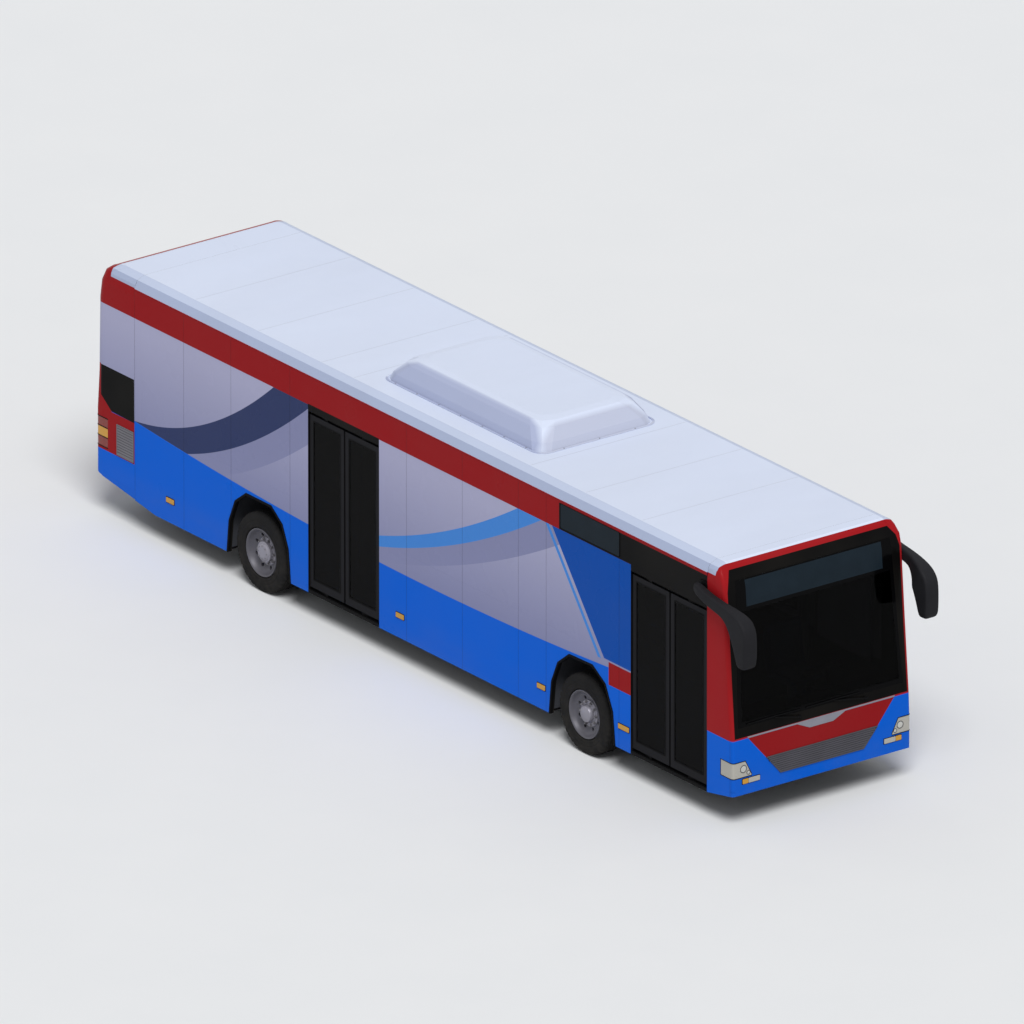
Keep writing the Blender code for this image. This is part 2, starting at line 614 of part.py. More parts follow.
def knuckles(material):
    """Make the two steered knuckles with drum, spindle and steering arm, and the tie rod."""
    g = SEAT_GAP
    for side, hand in ((-1, "right"), (1, "left")):
        y = side * KINGPIN_Y
        base = (FRONT_AXLE_X, y, AXLE_Z)
        body = rod(f"knuckle_{hand}", (FRONT_AXLE_X, y, RAIL_Z - 0.012), (FRONT_AXLE_X, y, AXLE_Z + 0.115 - g),
                   KINGPIN_RADIUS, material, 16, origin=base)
        stub = rod(f"stub_{hand}", base, (FRONT_AXLE_X, side * (FRONT_WHEEL_Y + 0.0195), AXLE_Z), 0.06, None, 16,
                   helper=True)
        drum = rod(f"drum_{hand}", (FRONT_AXLE_X, side * (KINGPIN_Y + 0.075), AXLE_Z),
                   (FRONT_AXLE_X, side * (FRONT_WHEEL_Y + 0.010), AXLE_Z), DRUM_RADIUS, None, 20, helper=True)
        arm = block(f"arm_{hand}", (FRONT_AXLE_X - STEER_ARM - 0.02, FRONT_AXLE_X), (y - 0.018, y + 0.018),
                    (ARM_LOW, ARM_TOP), None, helper=True)
        eye = rod(f"eye_{hand}", (FRONT_AXLE_X - STEER_ARM, y, ARM_LOW + 0.001),
                  (FRONT_AXLE_X - STEER_ARM, y, ARM_TOP - 0.001), 0.024, None, 12, helper=True)
        combine(body, [stub, drum, arm, eye], 'UNION')
    x = FRONT_AXLE_X - STEER_ARM
    return rod("tie_rod", (x, -KINGPIN_Y, TIE_ROD_Z), (x, KINGPIN_Y, TIE_ROD_Z), TIE_ROD_RADIUS, material, 12,
               origin=(x, KINGPIN_Y, TIE_ROD_Z))


def tyre(name, x, y, material):
    """Make one tyre."""
    w = TYRE_WIDTH / 2
    r = TYRE_RADIUS
    bead = RIM_RADIUS + 0.0004
    profile = [(bead, -w + 0.03), (bead + 0.03, -w + 0.004), (r - 0.085, -w), (r - 0.022, -w + 0.012),
               (r, -w + 0.038), (r, w - 0.038), (r - 0.022, w - 0.012), (r - 0.085, w),
               (bead + 0.03, w - 0.004), (bead, w - 0.03)]
    return turned(name, profile, (x, y, AXLE_Z), TYRE_FACETS, material)


def front_rim(name, x, y, side, material):
    """Make one front wheel with an outboard disc and hub cap."""
    w = TYRE_WIDTH / 2 - 0.032
    r = RIM_RADIUS
    profile = [(0.0005, 0.020), (r - 0.055, 0.020), (r - 0.025, -w), (r, -w), (r, w), (r - 0.03, w + 0.022),
               (r - 0.055, w + 0.012), (r - 0.062, 0.055), (0.125, 0.040), (0.104, 0.050), (0.096, 0.118),
               (0.060, 0.128), (0.0005, 0.128)]
    loops = [(a, side * b) for a, b in profile]
    return turned(name, loops, (x, y, AXLE_Z), TYRE_FACETS, material)


def rear_rim(name, x, y, side, material):
    """Make one rear twin wheel: two barrels on one deep disc."""
    w = TYRE_WIDTH / 2 - 0.032
    r = RIM_RADIUS
    step = TYRE_WIDTH + TWIN_GAP
    profile = [(0.0005, 0.020), (r - 0.055, 0.020), (r - 0.025, -w - 0.012), (r - 0.025, -step - w), (r, -step - w),
               (r, -step + w), (r - 0.008, -step / 2), (r, -w), (r, w), (r - 0.03, w + 0.022),
               (r - 0.055, w + 0.012), (r - 0.062, 0.052), (0.150, 0.036), (0.130, 0.090), (0.100, 0.112),
               (0.0005, 0.112)]
    loops = [(a, side * b) for a, b in profile]
    return turned(name, loops, (x, y, AXLE_Z), TYRE_FACETS, material)


def wheels(rubber, metal):
    """Make all six tyres and four wheels."""
    for side, hand in ((-1, "right"), (1, "left")):
        y = side * FRONT_WHEEL_Y
        tyre(f"front_tyre_{hand}", FRONT_AXLE_X, y, rubber)
        front_rim(f"front_wheel_{hand}", FRONT_AXLE_X, y, side, metal)
        tyre(f"rear_outer_tyre_{hand}", REAR_AXLE_X, y, rubber)
        tyre(f"rear_inner_tyre_{hand}", REAR_AXLE_X, side * INNER_WHEEL_Y, rubber)
        rear_rim(f"rear_wheel_{hand}", REAR_AXLE_X, y, side, metal)


def door_leaves(frame, glass, metal):
    """Make the four inward-gliding door leaves, their panes and their turning pillars."""
    g = SEAT_GAP
    y0, y1 = LEAF_Y - LEAF_THICK / 2, LEAF_Y + LEAF_THICK / 2
    for door in DOORS:
        middle = (door.low + door.high) / 2
        ends = ((door.low + JAMB_CLEAR, middle - CENTRE_GAP / 2, "rear", 1),
                (middle + CENTRE_GAP / 2, door.high - JAMB_CLEAR, "front", -1))
        for low, high, label, inward in ends:
            pivot_x = (low + high) / 2
            pivot = (pivot_x, LEAF_Y, (DOOR_BOTTOM + DOOR_TOP) / 2)
            name = f"{door.name}_leaf_{label}"
            leaf = block(name, (low, high), (y0, y1), (DOOR_BOTTOM, DOOR_TOP), frame, origin=pivot)
            pane_x = (low + LEAF_FRAME, high - LEAF_FRAME)
            pane_z = (DOOR_BOTTOM + 0.10, DOOR_TOP - 0.07)
            hole = block(name + "_hole", pane_x, (y0 - 0.05, y1 + 0.05), pane_z, None, helper=True)
            pin_top = rod(name + "_pin_top", (pivot_x, LEAF_Y, DOOR_TOP - 0.01),
                          (pivot_x, LEAF_Y, DOOR_TOP + 0.0096), 0.012, None, 10, helper=True)
            pin_low = rod(name + "_pin_low", (pivot_x, LEAF_Y, DOOR_BOTTOM - 0.0051),
                          (pivot_x, LEAF_Y, DOOR_BOTTOM + 0.01), 0.012, None, 10, helper=True)
            combine(leaf, [hole], 'DIFFERENCE')
            combine(leaf, [pin_top, pin_low], 'UNION')
            block(f"{door.name}_pane_{label}", (pane_x[0] + g, pane_x[1] - g), (y0 + 0.004, y0 + 0.012),
                  (pane_z[0] + g, pane_z[1] - g), glass, origin=pivot)

            post_x = low - PILLAR_BEHIND if inward > 0 else high + PILLAR_BEHIND
            post_y = LEAF_Y + PILLAR_IN
            base = (post_x, post_y, (DOOR_BOTTOM + DOOR_TOP) / 2)
            post = rod(f"{door.name}_pillar_{label}", (post_x, post_y, FLOOR_TOP + g),
                       (post_x, post_y, DOOR_TOP + 0.10), PILLAR_RADIUS, metal, 12, origin=base)
            a = Vector((post_x, post_y, 0.0))
            b = Vector((pivot_x, LEAF_Y, 0.0))
            along = (b - a).normalized() * 0.015
            across = Vector((-along.y, along.x, 0.0)).normalized() * ARM_WIDTH / 2
            outline = [a + across, a - across, b + along - across, b + along + across]
            outline = [(p.x, p.y) for p in outline]
            arms = [prism_z(name + "_arm_top", outline, DOOR_TOP + 0.010, DOOR_TOP + 0.030, None, helper=True),
                    prism_z(name + "_arm_low", outline, FLOOR_TOP + 0.006, DOOR_BOTTOM - 0.0055, None,
                            helper=True)]
            combine(post, arms, 'UNION')


MIRROR = ((5.36, 2.70), (5.66, 2.60), (5.94, 2.56), (6.07, 2.40), (6.157, 2.25), (6.25, 2.03), (6.32, 2.03),
          (6.365, 2.13), (6.360, 2.45), (6.30, 2.58), (6.15, 2.66), (5.90, 2.71), (5.66, 2.74), (5.36, 2.83))


def mirrors(material):
    """Make the two hanging mirrors with their curved arms."""
    reach = HALF + MIRROR_REACH
    for side, hand in ((-1, "right"), (1, "left")):
        g = SEAT_GAP
        outline = [(x - 6.365 + reach, z) for x, z in MIRROR]
        y = sorted((side * (HW + g), side * (HW + 0.12)))
        arm = prism_y(f"mirror_{hand}", outline, y[0], y[1], material)
        head = [(reach - 0.30, 2.40)] + outline[4:11] + [(reach - 0.30, 2.62)]
        y = sorted((side * (HW - 0.06), side * (HW + 0.12)))
        combine(arm, [prism_y(f"mirror_head_{hand}", head, y[0], y[1], None, helper=True)], 'UNION')
        soften(arm, 0.012, 2)


SEAT = ((0.0, 0.40), (0.43, 0.42), (0.45, 0.46), (0.42, 0.50), (0.10, 0.475), (0.045, 0.55), (-0.02, 0.98),
        (-0.05, 1.01), (-0.085, 0.99), (-0.06, 0.55))


def seat_row(name, spots, base_z, width, material, facing=1, plinth=None):
    """Make a row of seats joined by one base into a single piece."""
    x0, y0 = spots[0]
    outline = [(x0 + facing * dx, base_z + dz) for dx, dz in SEAT]
    row = prism_y(name, outline, y0 - width / 2, y0 + width / 2, material)
    tools = []
    for n, (x, y) in enumerate(spots[1:]):
        outline = [(x + facing * dx, base_z + dz) for dx, dz in SEAT]
        tools.append(prism_y(f"{name}_{n}", outline, y - width / 2, y + width / 2, None, helper=True))
    for n, (x, y) in enumerate(spots):
        tools.append(block(f"{name}_leg_{n}", tuple(sorted((x + facing * 0.12, x + facing * 0.30))),
                           (y - 0.06, y + 0.06), (base_z + SEAT_GAP, base_z + 0.42), None, helper=True))
    if plinth:
        tools.append(block(f"{name}_plinth", plinth[0], plinth[1], (base_z + SEAT_GAP, base_z + 0.05), None,
                           helper=True))
    return combine(row, tools, 'UNION')


# The cabin: seat rows, driver's place and rails, set from the walls, doors and platform.
SEAT_ROWS = (0.15, 0.95, 1.75)
SEAT_WIDTH = 0.46
SEAT_Y = HW - WALL - 0.27
BENCH_X = REAR_CAP_X + 0.205
BENCH_PLACES = 5
BENCH_PITCH = 2 * (HW - WALL - 0.05) / BENCH_PLACES
PLINTH_RISE = 0.22
CONSOLE_INNER_Y = 0.06
CONSOLE_OUTER_Y = HW - WALL - 0.01
DRIVER_Y = HW - 0.63
DASH = ((-0.63, 0.0), (-0.37, 0.0), (-0.13, 0.255), (-0.11, 0.675), (-0.39, 0.775), (-0.65, 0.715),
        (-0.69, 0.595), (-0.59, 0.455))
RAIL_LINE_Y = 0.40
RAIL_LINE_Z = 1.98
RAIL_RADIUS = 0.017
POST_X = (-3.55, -2.1, -0.4, 1.3, 2.6)


def interior(trim, fabric, metal):
    """Make the seats, the driver's place, the partition and the handrails."""
    g = SEAT_GAP
    low = FLOOR_TOP + g
    for side, hand in ((-1, "right"), (1, "left")):
        spots = [(x, side * SEAT_Y) for x in SEAT_ROWS]
        y = sorted((side * (SEAT_Y - 0.06), side * (SEAT_Y + 0.06)))
        plinth = ((SEAT_ROWS[0] + 0.10, SEAT_ROWS[-1] + 0.30), y)
        seat_row(f"seats_{hand}", spots, FLOOR_TOP, SEAT_WIDTH, fabric, plinth=plinth)
    spots = [(BENCH_X, (n - (BENCH_PLACES - 1) / 2) * BENCH_PITCH) for n in range(BENCH_PLACES)]
    reach = spots[-1][1] + 0.13
    seat_row("rear_bench", spots, PLATFORM_TOP, BENCH_PITCH - 0.015, fabric,
             plinth=((BENCH_X + 0.10, BENCH_X + 0.32), (-reach, reach)))
    plinth_top = FLOOR_TOP + PLINTH_RISE
    console = block("driver_console", (FRONT_CAP_X - 1.29, FRONT_CAP_X - 0.09), (CONSOLE_INNER_Y, CONSOLE_OUTER_Y),
                    (low, plinth_top), trim)
    dash_outline = [(HALF + dx, low + dz) for dx, dz in DASH]
    dash = prism_y("dash", dash_outline, CONSOLE_INNER_Y, CONSOLE_OUTER_Y - 0.09, None, helper=True)
    wheel_x, wheel_z = HALF - 0.79, plinth_top + 0.67
    column = rod("column", (HALF - 0.57, DRIVER_Y, plinth_top + 0.335), (wheel_x - 0.01, DRIVER_Y, wheel_z + 0.015),
                 0.035, None, 10, helper=True)
    rim = rod("steering_wheel", (wheel_x + 0.011, DRIVER_Y, wheel_z - 0.017),
              (wheel_x - 0.011, DRIVER_Y, wheel_z + 0.017), 0.225, None, 20, helper=True)
    combine(console, [dash, column, rim], 'UNION')
    seat_row("driver_seat", [(FRONT_CAP_X - 1.03, DRIVER_Y)], plinth_top, 0.48, fabric)
    wall_x = FRONT_CAP_X - 1.37
    partition = block("driver_partition", (wall_x, wall_x + 0.03), (CONSOLE_INNER_Y, CONSOLE_OUTER_Y),
                      (low, RAIL_LINE_Z + 0.32), trim)
    window = block("partition_hole", (wall_x - 0.1, wall_x + 0.1), (CONSOLE_INNER_Y + 0.10, CONSOLE_OUTER_Y - 0.10),
                   (FLOOR_TOP + 1.005, RAIL_LINE_Z + 0.22), None, helper=True)
    combine(partition, [window], 'DIFFERENCE')

    ends = (PLATFORM_X + 0.20, DOORS[0].low - 0.40)
    y, z, r = RAIL_LINE_Y, RAIL_LINE_Z, RAIL_RADIUS
    rails = rod("handrails", (ends[0], y, z), (ends[1], y, z), r, metal, 8)
    tools = [rod("rail_b", (ends[0], -y, z), (ends[1], -y, z), r, None, 8, helper=True)]
    step_top = (FLOOR_TOP + PLATFORM_TOP) / 2 + g
    for n, x in enumerate(POST_X):
        tools.append(rod(f"rail_cross_{n}", (x, -y - 0.01, z), (x, y + 0.01, z), r - 0.001, None, 8, helper=True))
        foot = step_top if x < PLATFORM_X + 0.5 else low
        for side in (-1, 1):
            tools.append(rod(f"post_{n}_{side}", (x, side * y, foot), (x, side * y, ROOF_TOP - ROOF_SKIN - g),
                             r + 0.001, None, 8, helper=True))
    combine(rails, tools, 'UNION')


def engine(material):
    """Make the engine as one plain block on the frame rails."""
    half = WELL_INNER_Y - 0.03
    block("engine_block", (-HALF + 0.40, PLATFORM_X - 0.50), (-half, half),
          (SKIRT_Z + SEAT_GAP, PLATFORM_TOP - PLATFORM_SKIN - 0.04), material)


def main():
    """Build every piece."""
    clear_scene()
    white = paint("roof_white", (0.68, 0.72, 0.86), 0.35)
    body = paint("body_paint", (0.35, 0.36, 0.50), 0.35)
    front = paint("front_paint", (0.30, 0.02, 0.03), 0.35)
    glass = paint("dark_glass", (0.01, 0.01, 0.012), 0.1)
    lamp = paint("lamp_clear", (0.45, 0.45, 0.42), 0.2)
    tail = paint("lamp_red", (0.25, 0.02, 0.01), 0.3)
    rubber = paint("rubber", (0.02, 0.02, 0.02), 0.8)
    metal = paint("wheel_metal", (0.15, 0.15, 0.17), 0.4, 0.6)
    dark = paint("dark_frame", (0.03, 0.03, 0.035), 0.5)
    steel = paint("frame_steel", (0.06, 0.06, 0.065), 0.6, 0.4)
    fabric = paint("seat_fabric", (0.04, 0.09, 0.25), 0.8)
    trim = paint("cabin_trim", (0.12, 0.12, 0.13), 0.7)
    side_wall("side_wall_right", -1, body)
    side_wall("side_wall_left", 1, body)
    glazing(glass)
    roof(white)
    roof_unit(white)
    front_end(front, glass, lamp)
    rear_end(front, glass, tail, dark)
    floor(trim)
    chassis(steel)
    axles(steel)
    knuckles(steel)
    wheels(rubber, metal)
    door_leaves(dark, glass, metal)
    mirrors(dark)
    interior(trim, fabric, metal)
    engine(steel)


main()
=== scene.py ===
"""The looks of a full-size airport passenger bus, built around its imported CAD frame.

Each sub-assembly is a class with its sizes as fields, in metres along the bus: X runs from tail
to nose with zero at mid-length, Y to the left and Z up. Each finish is a small frozen class that
writes one procedural material. main() builds the classes in order.
"""

import logging
import math
from dataclasses import dataclass, field
from enum import Enum
from functools import cached_property
from typing import Callable, Iterable, Optional, Sequence

import bmesh
import bpy
from mathutils import Matrix, Vector


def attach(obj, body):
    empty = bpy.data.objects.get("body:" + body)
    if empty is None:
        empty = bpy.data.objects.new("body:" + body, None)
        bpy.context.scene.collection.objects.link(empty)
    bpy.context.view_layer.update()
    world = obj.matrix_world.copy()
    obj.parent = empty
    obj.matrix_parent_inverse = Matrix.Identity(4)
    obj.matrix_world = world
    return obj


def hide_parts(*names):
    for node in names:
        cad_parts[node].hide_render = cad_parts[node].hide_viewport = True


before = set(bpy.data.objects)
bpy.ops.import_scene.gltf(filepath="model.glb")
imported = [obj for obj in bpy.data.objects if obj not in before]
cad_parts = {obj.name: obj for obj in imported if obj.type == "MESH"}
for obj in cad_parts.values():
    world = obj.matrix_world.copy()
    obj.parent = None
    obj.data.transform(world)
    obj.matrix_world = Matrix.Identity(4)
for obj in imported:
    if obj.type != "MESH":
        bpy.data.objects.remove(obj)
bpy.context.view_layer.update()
LOG = logging.getLogger("bus")

Point = tuple[float, float, float]
Flat = tuple[float, float]
Colour = tuple[float, float, float, float]
Socket = bpy.types.NodeSocket
Material = bpy.types.Material
Object = bpy.types.Object

# The frame's zero is the middle of the outline with the mirrors, this far behind the body's own.
NOSE_SHIFT = -0.1875
END_X = 5.99
SIDE_Y = 1.25
EAVE_Z = 2.95
FLOOR_Z = 0.345
FRONT_CAP_X = 5.51
REAR_CAP_X = -5.255
FRONT_AXLE_X = 3.19
REAR_AXLE_X = -2.895
AXLE_Z = 0.4757
FRONT_DOORWAY = (4.10, 5.51)
MIDDLE_DOORWAY = (-1.953, -0.619)
LINING_Y = 1.2025
CORNER_SIZE = (0.045, 0.035)
SMOOTH_ANGLE = math.radians(38)


class Side(Enum):
    """The two long sides of the bus, with the sign of Y on each."""
    LEFT = 1
    RIGHT = -1

    @property
    def word(self) -> str:
        """The word that ends this side's node names."""
        return self.name.lower()

    def span(self, near: float, far: float) -> Flat:
        """A stretch of Y on this side of the middle, lowest first."""
        return tuple(sorted((self.value * near, self.value * far)))


class Axis(Enum):
    """The three directions a flat outline can be pushed along or turned about."""
    X = 0
    Y = 1
    Z = 2

    def put(self, first: float, second: float, along: float) -> Point:
        """Put a place along this axis among two flat coordinates.

        Args:
            first, second: The two other coordinates, in order.
            along: The place along this axis.

        Returns:
            The point.
        """
        spot = [first, second]
        spot.insert(self.value, along)
        return tuple(spot)


def turns(count: int, shift: float = 0.0) -> list[Flat]:
    """The cosine and sine at even steps round a circle, moved on by a share of a step."""
    return [(math.cos(t), math.sin(t)) for t in (2 * math.pi * (k + shift) / count for k in range(count))]


def srgb(red: int, green: int, blue: int) -> Colour:
    """Turn a colour as seen on a screen into a shader's linear values.

    Args:
        red, green, blue: Its parts, from 0 to 255.

    Returns:
        The linear colour.
    """
    def line(value: int) -> float:
        """The linear value of one part."""
        part = value / 255
        return part / 12.92 if part <= 0.04045 else ((part + 0.055) / 1.055) ** 2.4
    return (line(red), line(green), line(blue), 1.0)


def shade(colour: Colour, factor: float) -> Colour:
    """A darker or lighter version of a colour."""
    return tuple(min(1.0, part * factor) for part in colour[:3]) + (1.0,)


class Tint:
    """The colours of the bus, as linear values."""
    ROOF = srgb(214, 222, 241)
    # The two eave tints are painted shade for the eave's two sloping facets.
    EAVE = srgb(170, 181, 208)
    EAVE_TOP = srgb(192, 202, 225)
    # The unit's flank and front tints are painted shade: the same white paint, deeper where its faces turn
    # from the lamp.
    UNIT_SIDE = srgb(172, 180, 208)
    UNIT_FRONT = srgb(190, 195, 214)
    RED = srgb(149, 18, 24)
    # The nose's red and blue are copies of the side's, repainted for the nose's light: the red lighter as
    # painted light, the blue darker as painted shade.
    FRONT_RED = srgb(155, 24, 30)
    APRON = srgb(138, 20, 25)
    BLUE = srgb(0, 97, 214)
    FRONT_BLUE = srgb(0, 90, 201)
    DEEP_BLUE = srgb(4, 76, 168)
    LIGHT_BLUE = srgb(70, 136, 216)
    PALE = srgb(172, 172, 201)
    PALE_LOW = srgb(136, 139, 175)
    SLATE = srgb(50, 61, 101)
    BLACK = srgb(5, 5, 6)
    BAND = srgb(8, 8, 9)
    DISPLAY = srgb(26, 36, 44)
    STRIP = srgb(132, 132, 142)
    GRILLE = srgb(74, 73, 79)
    DOOR = srgb(28, 28, 31)
    TYRE = srgb(30, 30, 31)
    RIM = srgb(88, 87, 95)
    HUB = srgb(140, 138, 148)
    CABIN = srgb(150, 151, 156)
    AMBER = srgb(206, 150, 40)
    TAIL = srgb(132, 34, 18)
    LAMP = srgb(178, 175, 166)
    DUST = srgb(120, 112, 100)


class Recipe:
    """Writes the node tree of one material in a few words a line."""

    def __init__(self, name: str) -> None:
        """Start a material with its one main shader.

        Args:
            name: The material's name.
        """
        self.material = bpy.data.materials.new(name)
        self.material.use_nodes = True
        self.tree = self.material.node_tree
        self.shader = next(n for n in self.tree.nodes if n.type == "BSDF_PRINCIPLED")

    def node(self, kind: str, **settings: object) -> bpy.types.Node:
        """Add a node and set its plain properties.

        Args:
            kind: The node's class without its ShaderNode prefix.
            settings: Property values by name.

        Returns:
            The new node.
        """
        made = self.tree.nodes.new("ShaderNode" + kind)
        for key, value in settings.items():
            setattr(made, key, value)
        return made

    def feed(self, socket: Socket, value: object) -> None:
        """Link a socket to another, or set it where the value is plain.

        Args:
            socket: The input to fill.
            value: A socket, a number or a tuple.
        """
        if isinstance(value, bpy.types.NodeSocket):
            self.tree.links.new(value, socket)
        else:
            socket.default_value = value

    def dress(self, **values: object) -> None:
        """Set or link the main shader's sockets, written with _ for spaces."""
        for key, value in values.items():
            self.feed(self.shader.inputs[key.replace("_", " ")], value)

    def math(self, operation: str, *values: object) -> Socket:
        """Work one sum out.

        Args:
            operation: The sum's name.
            values: What goes into it, in order.

        Returns:
            The result's socket.
        """
        made = self.node("Math", operation=operation)
        for socket, value in zip(made.inputs, values):
            self.feed(socket, value)
        return made.outputs[0]

    def plus(self, first: object, second: object) -> Socket:
        """The sum of two values."""
        return self.math("ADD", first, second)

    def minus(self, first: object, second: object) -> Socket:
        """The first value less the second."""
        return self.math("SUBTRACT", first, second)

    def times(self, first: object, second: object) -> Socket:
        """The product of two values."""
        return self.math("MULTIPLY", first, second)

    def wave(self, value: object) -> Socket:
        """A wave of a value in radians, from 0 to 1."""
        return self.math("MULTIPLY_ADD", self.math("SINE", value), 0.5, 0.5)

    @cached_property
    def place(self) -> Socket:
        """The point on the piece at rest, along the bus.

        Returns:
            Its socket.
        """
        moved = self.node("VectorMath", operation="ADD")
        self.feed(moved.inputs[0], self.node("TexCoord").outputs["Object"])
        self.feed(moved.inputs[1], (-NOSE_SHIFT, 0.0, 0.0))
        return moved.outputs[0]

    @cached_property
    def split(self) -> tuple[Socket, Socket, Socket]:
        """The same point's X, Y and Z.

        Returns:
            Their sockets.
        """
        made = self.node("SeparateXYZ")
        self.feed(made.inputs[0], self.place)
        return tuple(made.outputs)

    @cached_property
    def parts(self) -> tuple[Socket, Socket, Socket]:
        """The same point's X, distance from the middle plane, and Z."""
        x, y, z = self.split
        return x, self.math("ABSOLUTE", y), z

    @cached_property
    def folded(self) -> Socket:
        """The point with both sides of the bus folded onto one.

        Returns:
            Its socket.
        """
        joined = self.node("CombineXYZ")
        for socket, value in zip(joined.inputs, self.parts):
            self.feed(socket, value)
        return joined.outputs[0]

    def noise(self, scale: float, detail: float = 3.0, rough: float = 0.5,
              stretch: Point = (1.0, 1.0, 1.0)) -> Socket:
        """Solid noise from 0 to 1.

        Args:
            scale: Waves a metre.
            detail: Finer layers of noise.
            rough: How strong the finer layers are.
            stretch: A factor for the scale along each axis.

        Returns:
            The noise's socket.
        """
        spot = self.place
        if stretch != (1.0, 1.0, 1.0):
            sized = self.node("VectorMath", operation="MULTIPLY")
            self.feed(sized.inputs[0], spot)
            self.feed(sized.inputs[1], stretch)
            spot = sized.outputs[0]
        made = self.node("TexNoise")
        for key, value in (("Vector", spot), ("Scale", scale), ("Detail", detail), ("Roughness", rough)):
            self.feed(made.inputs[key], value)
        return made.outputs["Fac"]

    def span(self, value: object, low: float, high: float, start: float = 0.0, end: float = 1.0) -> Socket:
        """Map a value between two limits onto two others, held at the ends.

        Args:
            value: The value to map.
            low, high: The limits it runs between.
            start, end: What they become.

        Returns:
            The mapped value's socket.
        """
        made = self.node("MapRange", clamp=True)
        for socket, number in zip(made.inputs, (value, low, high, start, end)):
            self.feed(socket, number)
        return made.outputs[0]

    def mix(self, share: object, first: object, second: object) -> Socket:
        """Blend two colours.

        Args:
            share: How much of the second shows, from 0 to 1.
            first, second: The colours.

        Returns:
            The blend's socket.
        """
        made = self.node("Mix", data_type="RGBA")
        sockets = [s for s in made.inputs if s.enabled]
        for socket, value in zip(sockets, (share, first, second)):
            self.feed(socket, value)
        return next(s for s in made.outputs if s.enabled)

    def bump(self, height: Socket, depth: float, strength: float = 1.0) -> None:
        """Add relief to the shader's normal, on top of any already there.

        Args:
            height: The relief, from 0 to 1.
            depth: Its depth in metres.
            strength: How strongly it shows.
        """
        made = self.node("Bump")
        for key, value in (("Strength", strength), ("Distance", depth), ("Height", height)):
            self.feed(made.inputs[key], value)
        normal = self.shader.inputs["Normal"]
        if normal.links:
            self.feed(made.inputs["Normal"], normal.links[0].from_socket)
        self.feed(normal, made.outputs[0])

    def above(self, point: Socket, plane: Colour) -> Socket:
        """How far a point lies in front of a plane.

        Args:
            point: The point.
            plane: The plane's unit normal and its offset.

        Returns:
            The signed distance in metres.
        """
        dot = self.node("VectorMath", operation="DOT_PRODUCT")
        self.feed(dot.inputs[0], point)
        self.feed(dot.inputs[1], plane[:3])
        return self.plus(dot.outputs["Value"], plane[3])

    def within(self, value: Socket, low: Optional[float] = None,
               high: Optional[float] = None) -> list[Socket]:
        """How far a coordinate lies inside one limit or two, as signed distances."""
        over = [] if low is None else [self.minus(value, low)]
        return over if high is None else [*over, self.minus(high, value)]

    def region(self, distances: Sequence[Socket], edge: float = 0.0015) -> Socket:
        """Mask the place where every signed distance is positive.

        Args:
            distances: The signed distances in metres.
            edge: Half the width of the mask's edge.

        Returns:
            The mask, 1 inside.
        """
        least = distances[0]
        for other in distances[1:]:
            least = self.math("MINIMUM", least, other)
        return self.span(least, -edge, edge)

    def outline(self, point: Socket, corners: Sequence[Flat], across: Axis,
                extra: Sequence[Socket] = ()) -> Socket:
        """Mask a convex outline seen along one axis.

        Args:
            point: The point to test.
            corners: The outline's corners, in order, in the two other coordinates.
            across: The axis the outline is seen along.
            extra: More signed distances that must be positive.

        Returns:
            The mask, 1 inside.
        """
        edges = list(zip(corners, [*corners[1:], corners[0]]))
        turn = math.copysign(1.0, sum(a[0] * b[1] - b[0] * a[1] for a, b in edges))
        distances = list(extra)
        for a, b in edges:
            length = math.hypot(b[0] - a[0], b[1] - a[1])
            inward = (-(b[1] - a[1]) * turn / length, (b[0] - a[0]) * turn / length)
            offset = -(inward[0] * a[0] + inward[1] * a[1])
            distances.append(self.above(point, (*across.put(*inward, 0.0), offset)))
        return self.region(distances)

    def lines(self, value: Socket, places: Sequence[float], width: float) -> Socket:
        """Mask thin lines where a coordinate passes the given places.

        Args:
            value: The coordinate.
            places: Where the lines lie.
            width: Their width.

        Returns:
            The mask, 1 on a line.
        """
        total: Optional[Socket] = None
        for place in places:
            away = self.math("ABSOLUTE", self.minus(value, place))
            line = self.span(away, width * 0.35, width * 0.65, 1.0, 0.0)
            total = line if total is None else self.math("MAXIMUM", total, line)
        return total


@dataclass(frozen=True)
class Finish:
    """One finish, made once and shared by every piece that wears it."""
    name: str

    def make(self) -> Material:
        """Give the finish's material, written on first use.

        Returns:
            The material.
        """
        known = bpy.data.materials.get(self.name)
        if known is not None:
            return known
        recipe = Recipe(self.name)
        self.write(recipe)
        return recipe.material

    def write(self, recipe: Recipe) -> None:
        """Write the finish's nodes; each kind of finish has its own."""
        raise NotImplementedError


@dataclass(frozen=True)
class Surface(Finish):
    """A plain solid finish with grain, slight colour variation and wear.

    The grain is fine relief in waves a metre, and dust settles on what is low.
    """
    colour: Colour = (0.5, 0.5, 0.5, 1.0)
    rough: float = 0.5
    metal: float = 0.0
    specular: float = 0.5
    coat: float = 0.0
    grain: float = 300.0
    depth: float = 0.0004
    variation: float = 0.12
    dust: float = 0.0

    def write(self, recipe: Recipe) -> None:
        """Write colour, roughness and grain.

        Args:
            recipe: The material to write.
        """
        patch = recipe.noise(3.1, 4.0, 0.6)
        colour = recipe.mix(recipe.span(patch, 0.3, 0.7), shade(self.colour, 1 - self.variation),
                            shade(self.colour, 1 + self.variation))
        if self.dust:
            settled = recipe.times(recipe.span(recipe.parts[2], 0.15, 1.0, 1.0, 0.15),
                                   recipe.span(recipe.noise(7.0, 6.0, 0.7), 0.35, 0.75, 0.0, self.dust))
            colour = recipe.mix(settled, colour, Tint.DUST)
        grain = recipe.noise(self.grain, 2.0, 0.5)
        recipe.dress(Base_Color=colour, Metallic=self.metal, Coat_Weight=self.coat, Coat_Roughness=0.12,
                     Specular_IOR_Level=self.specular,
                     Roughness=recipe.span(grain, 0.2, 0.8, max(0.02, self.rough - 0.06), self.rough + 0.06))
        recipe.bump(grain, self.depth, 0.6)


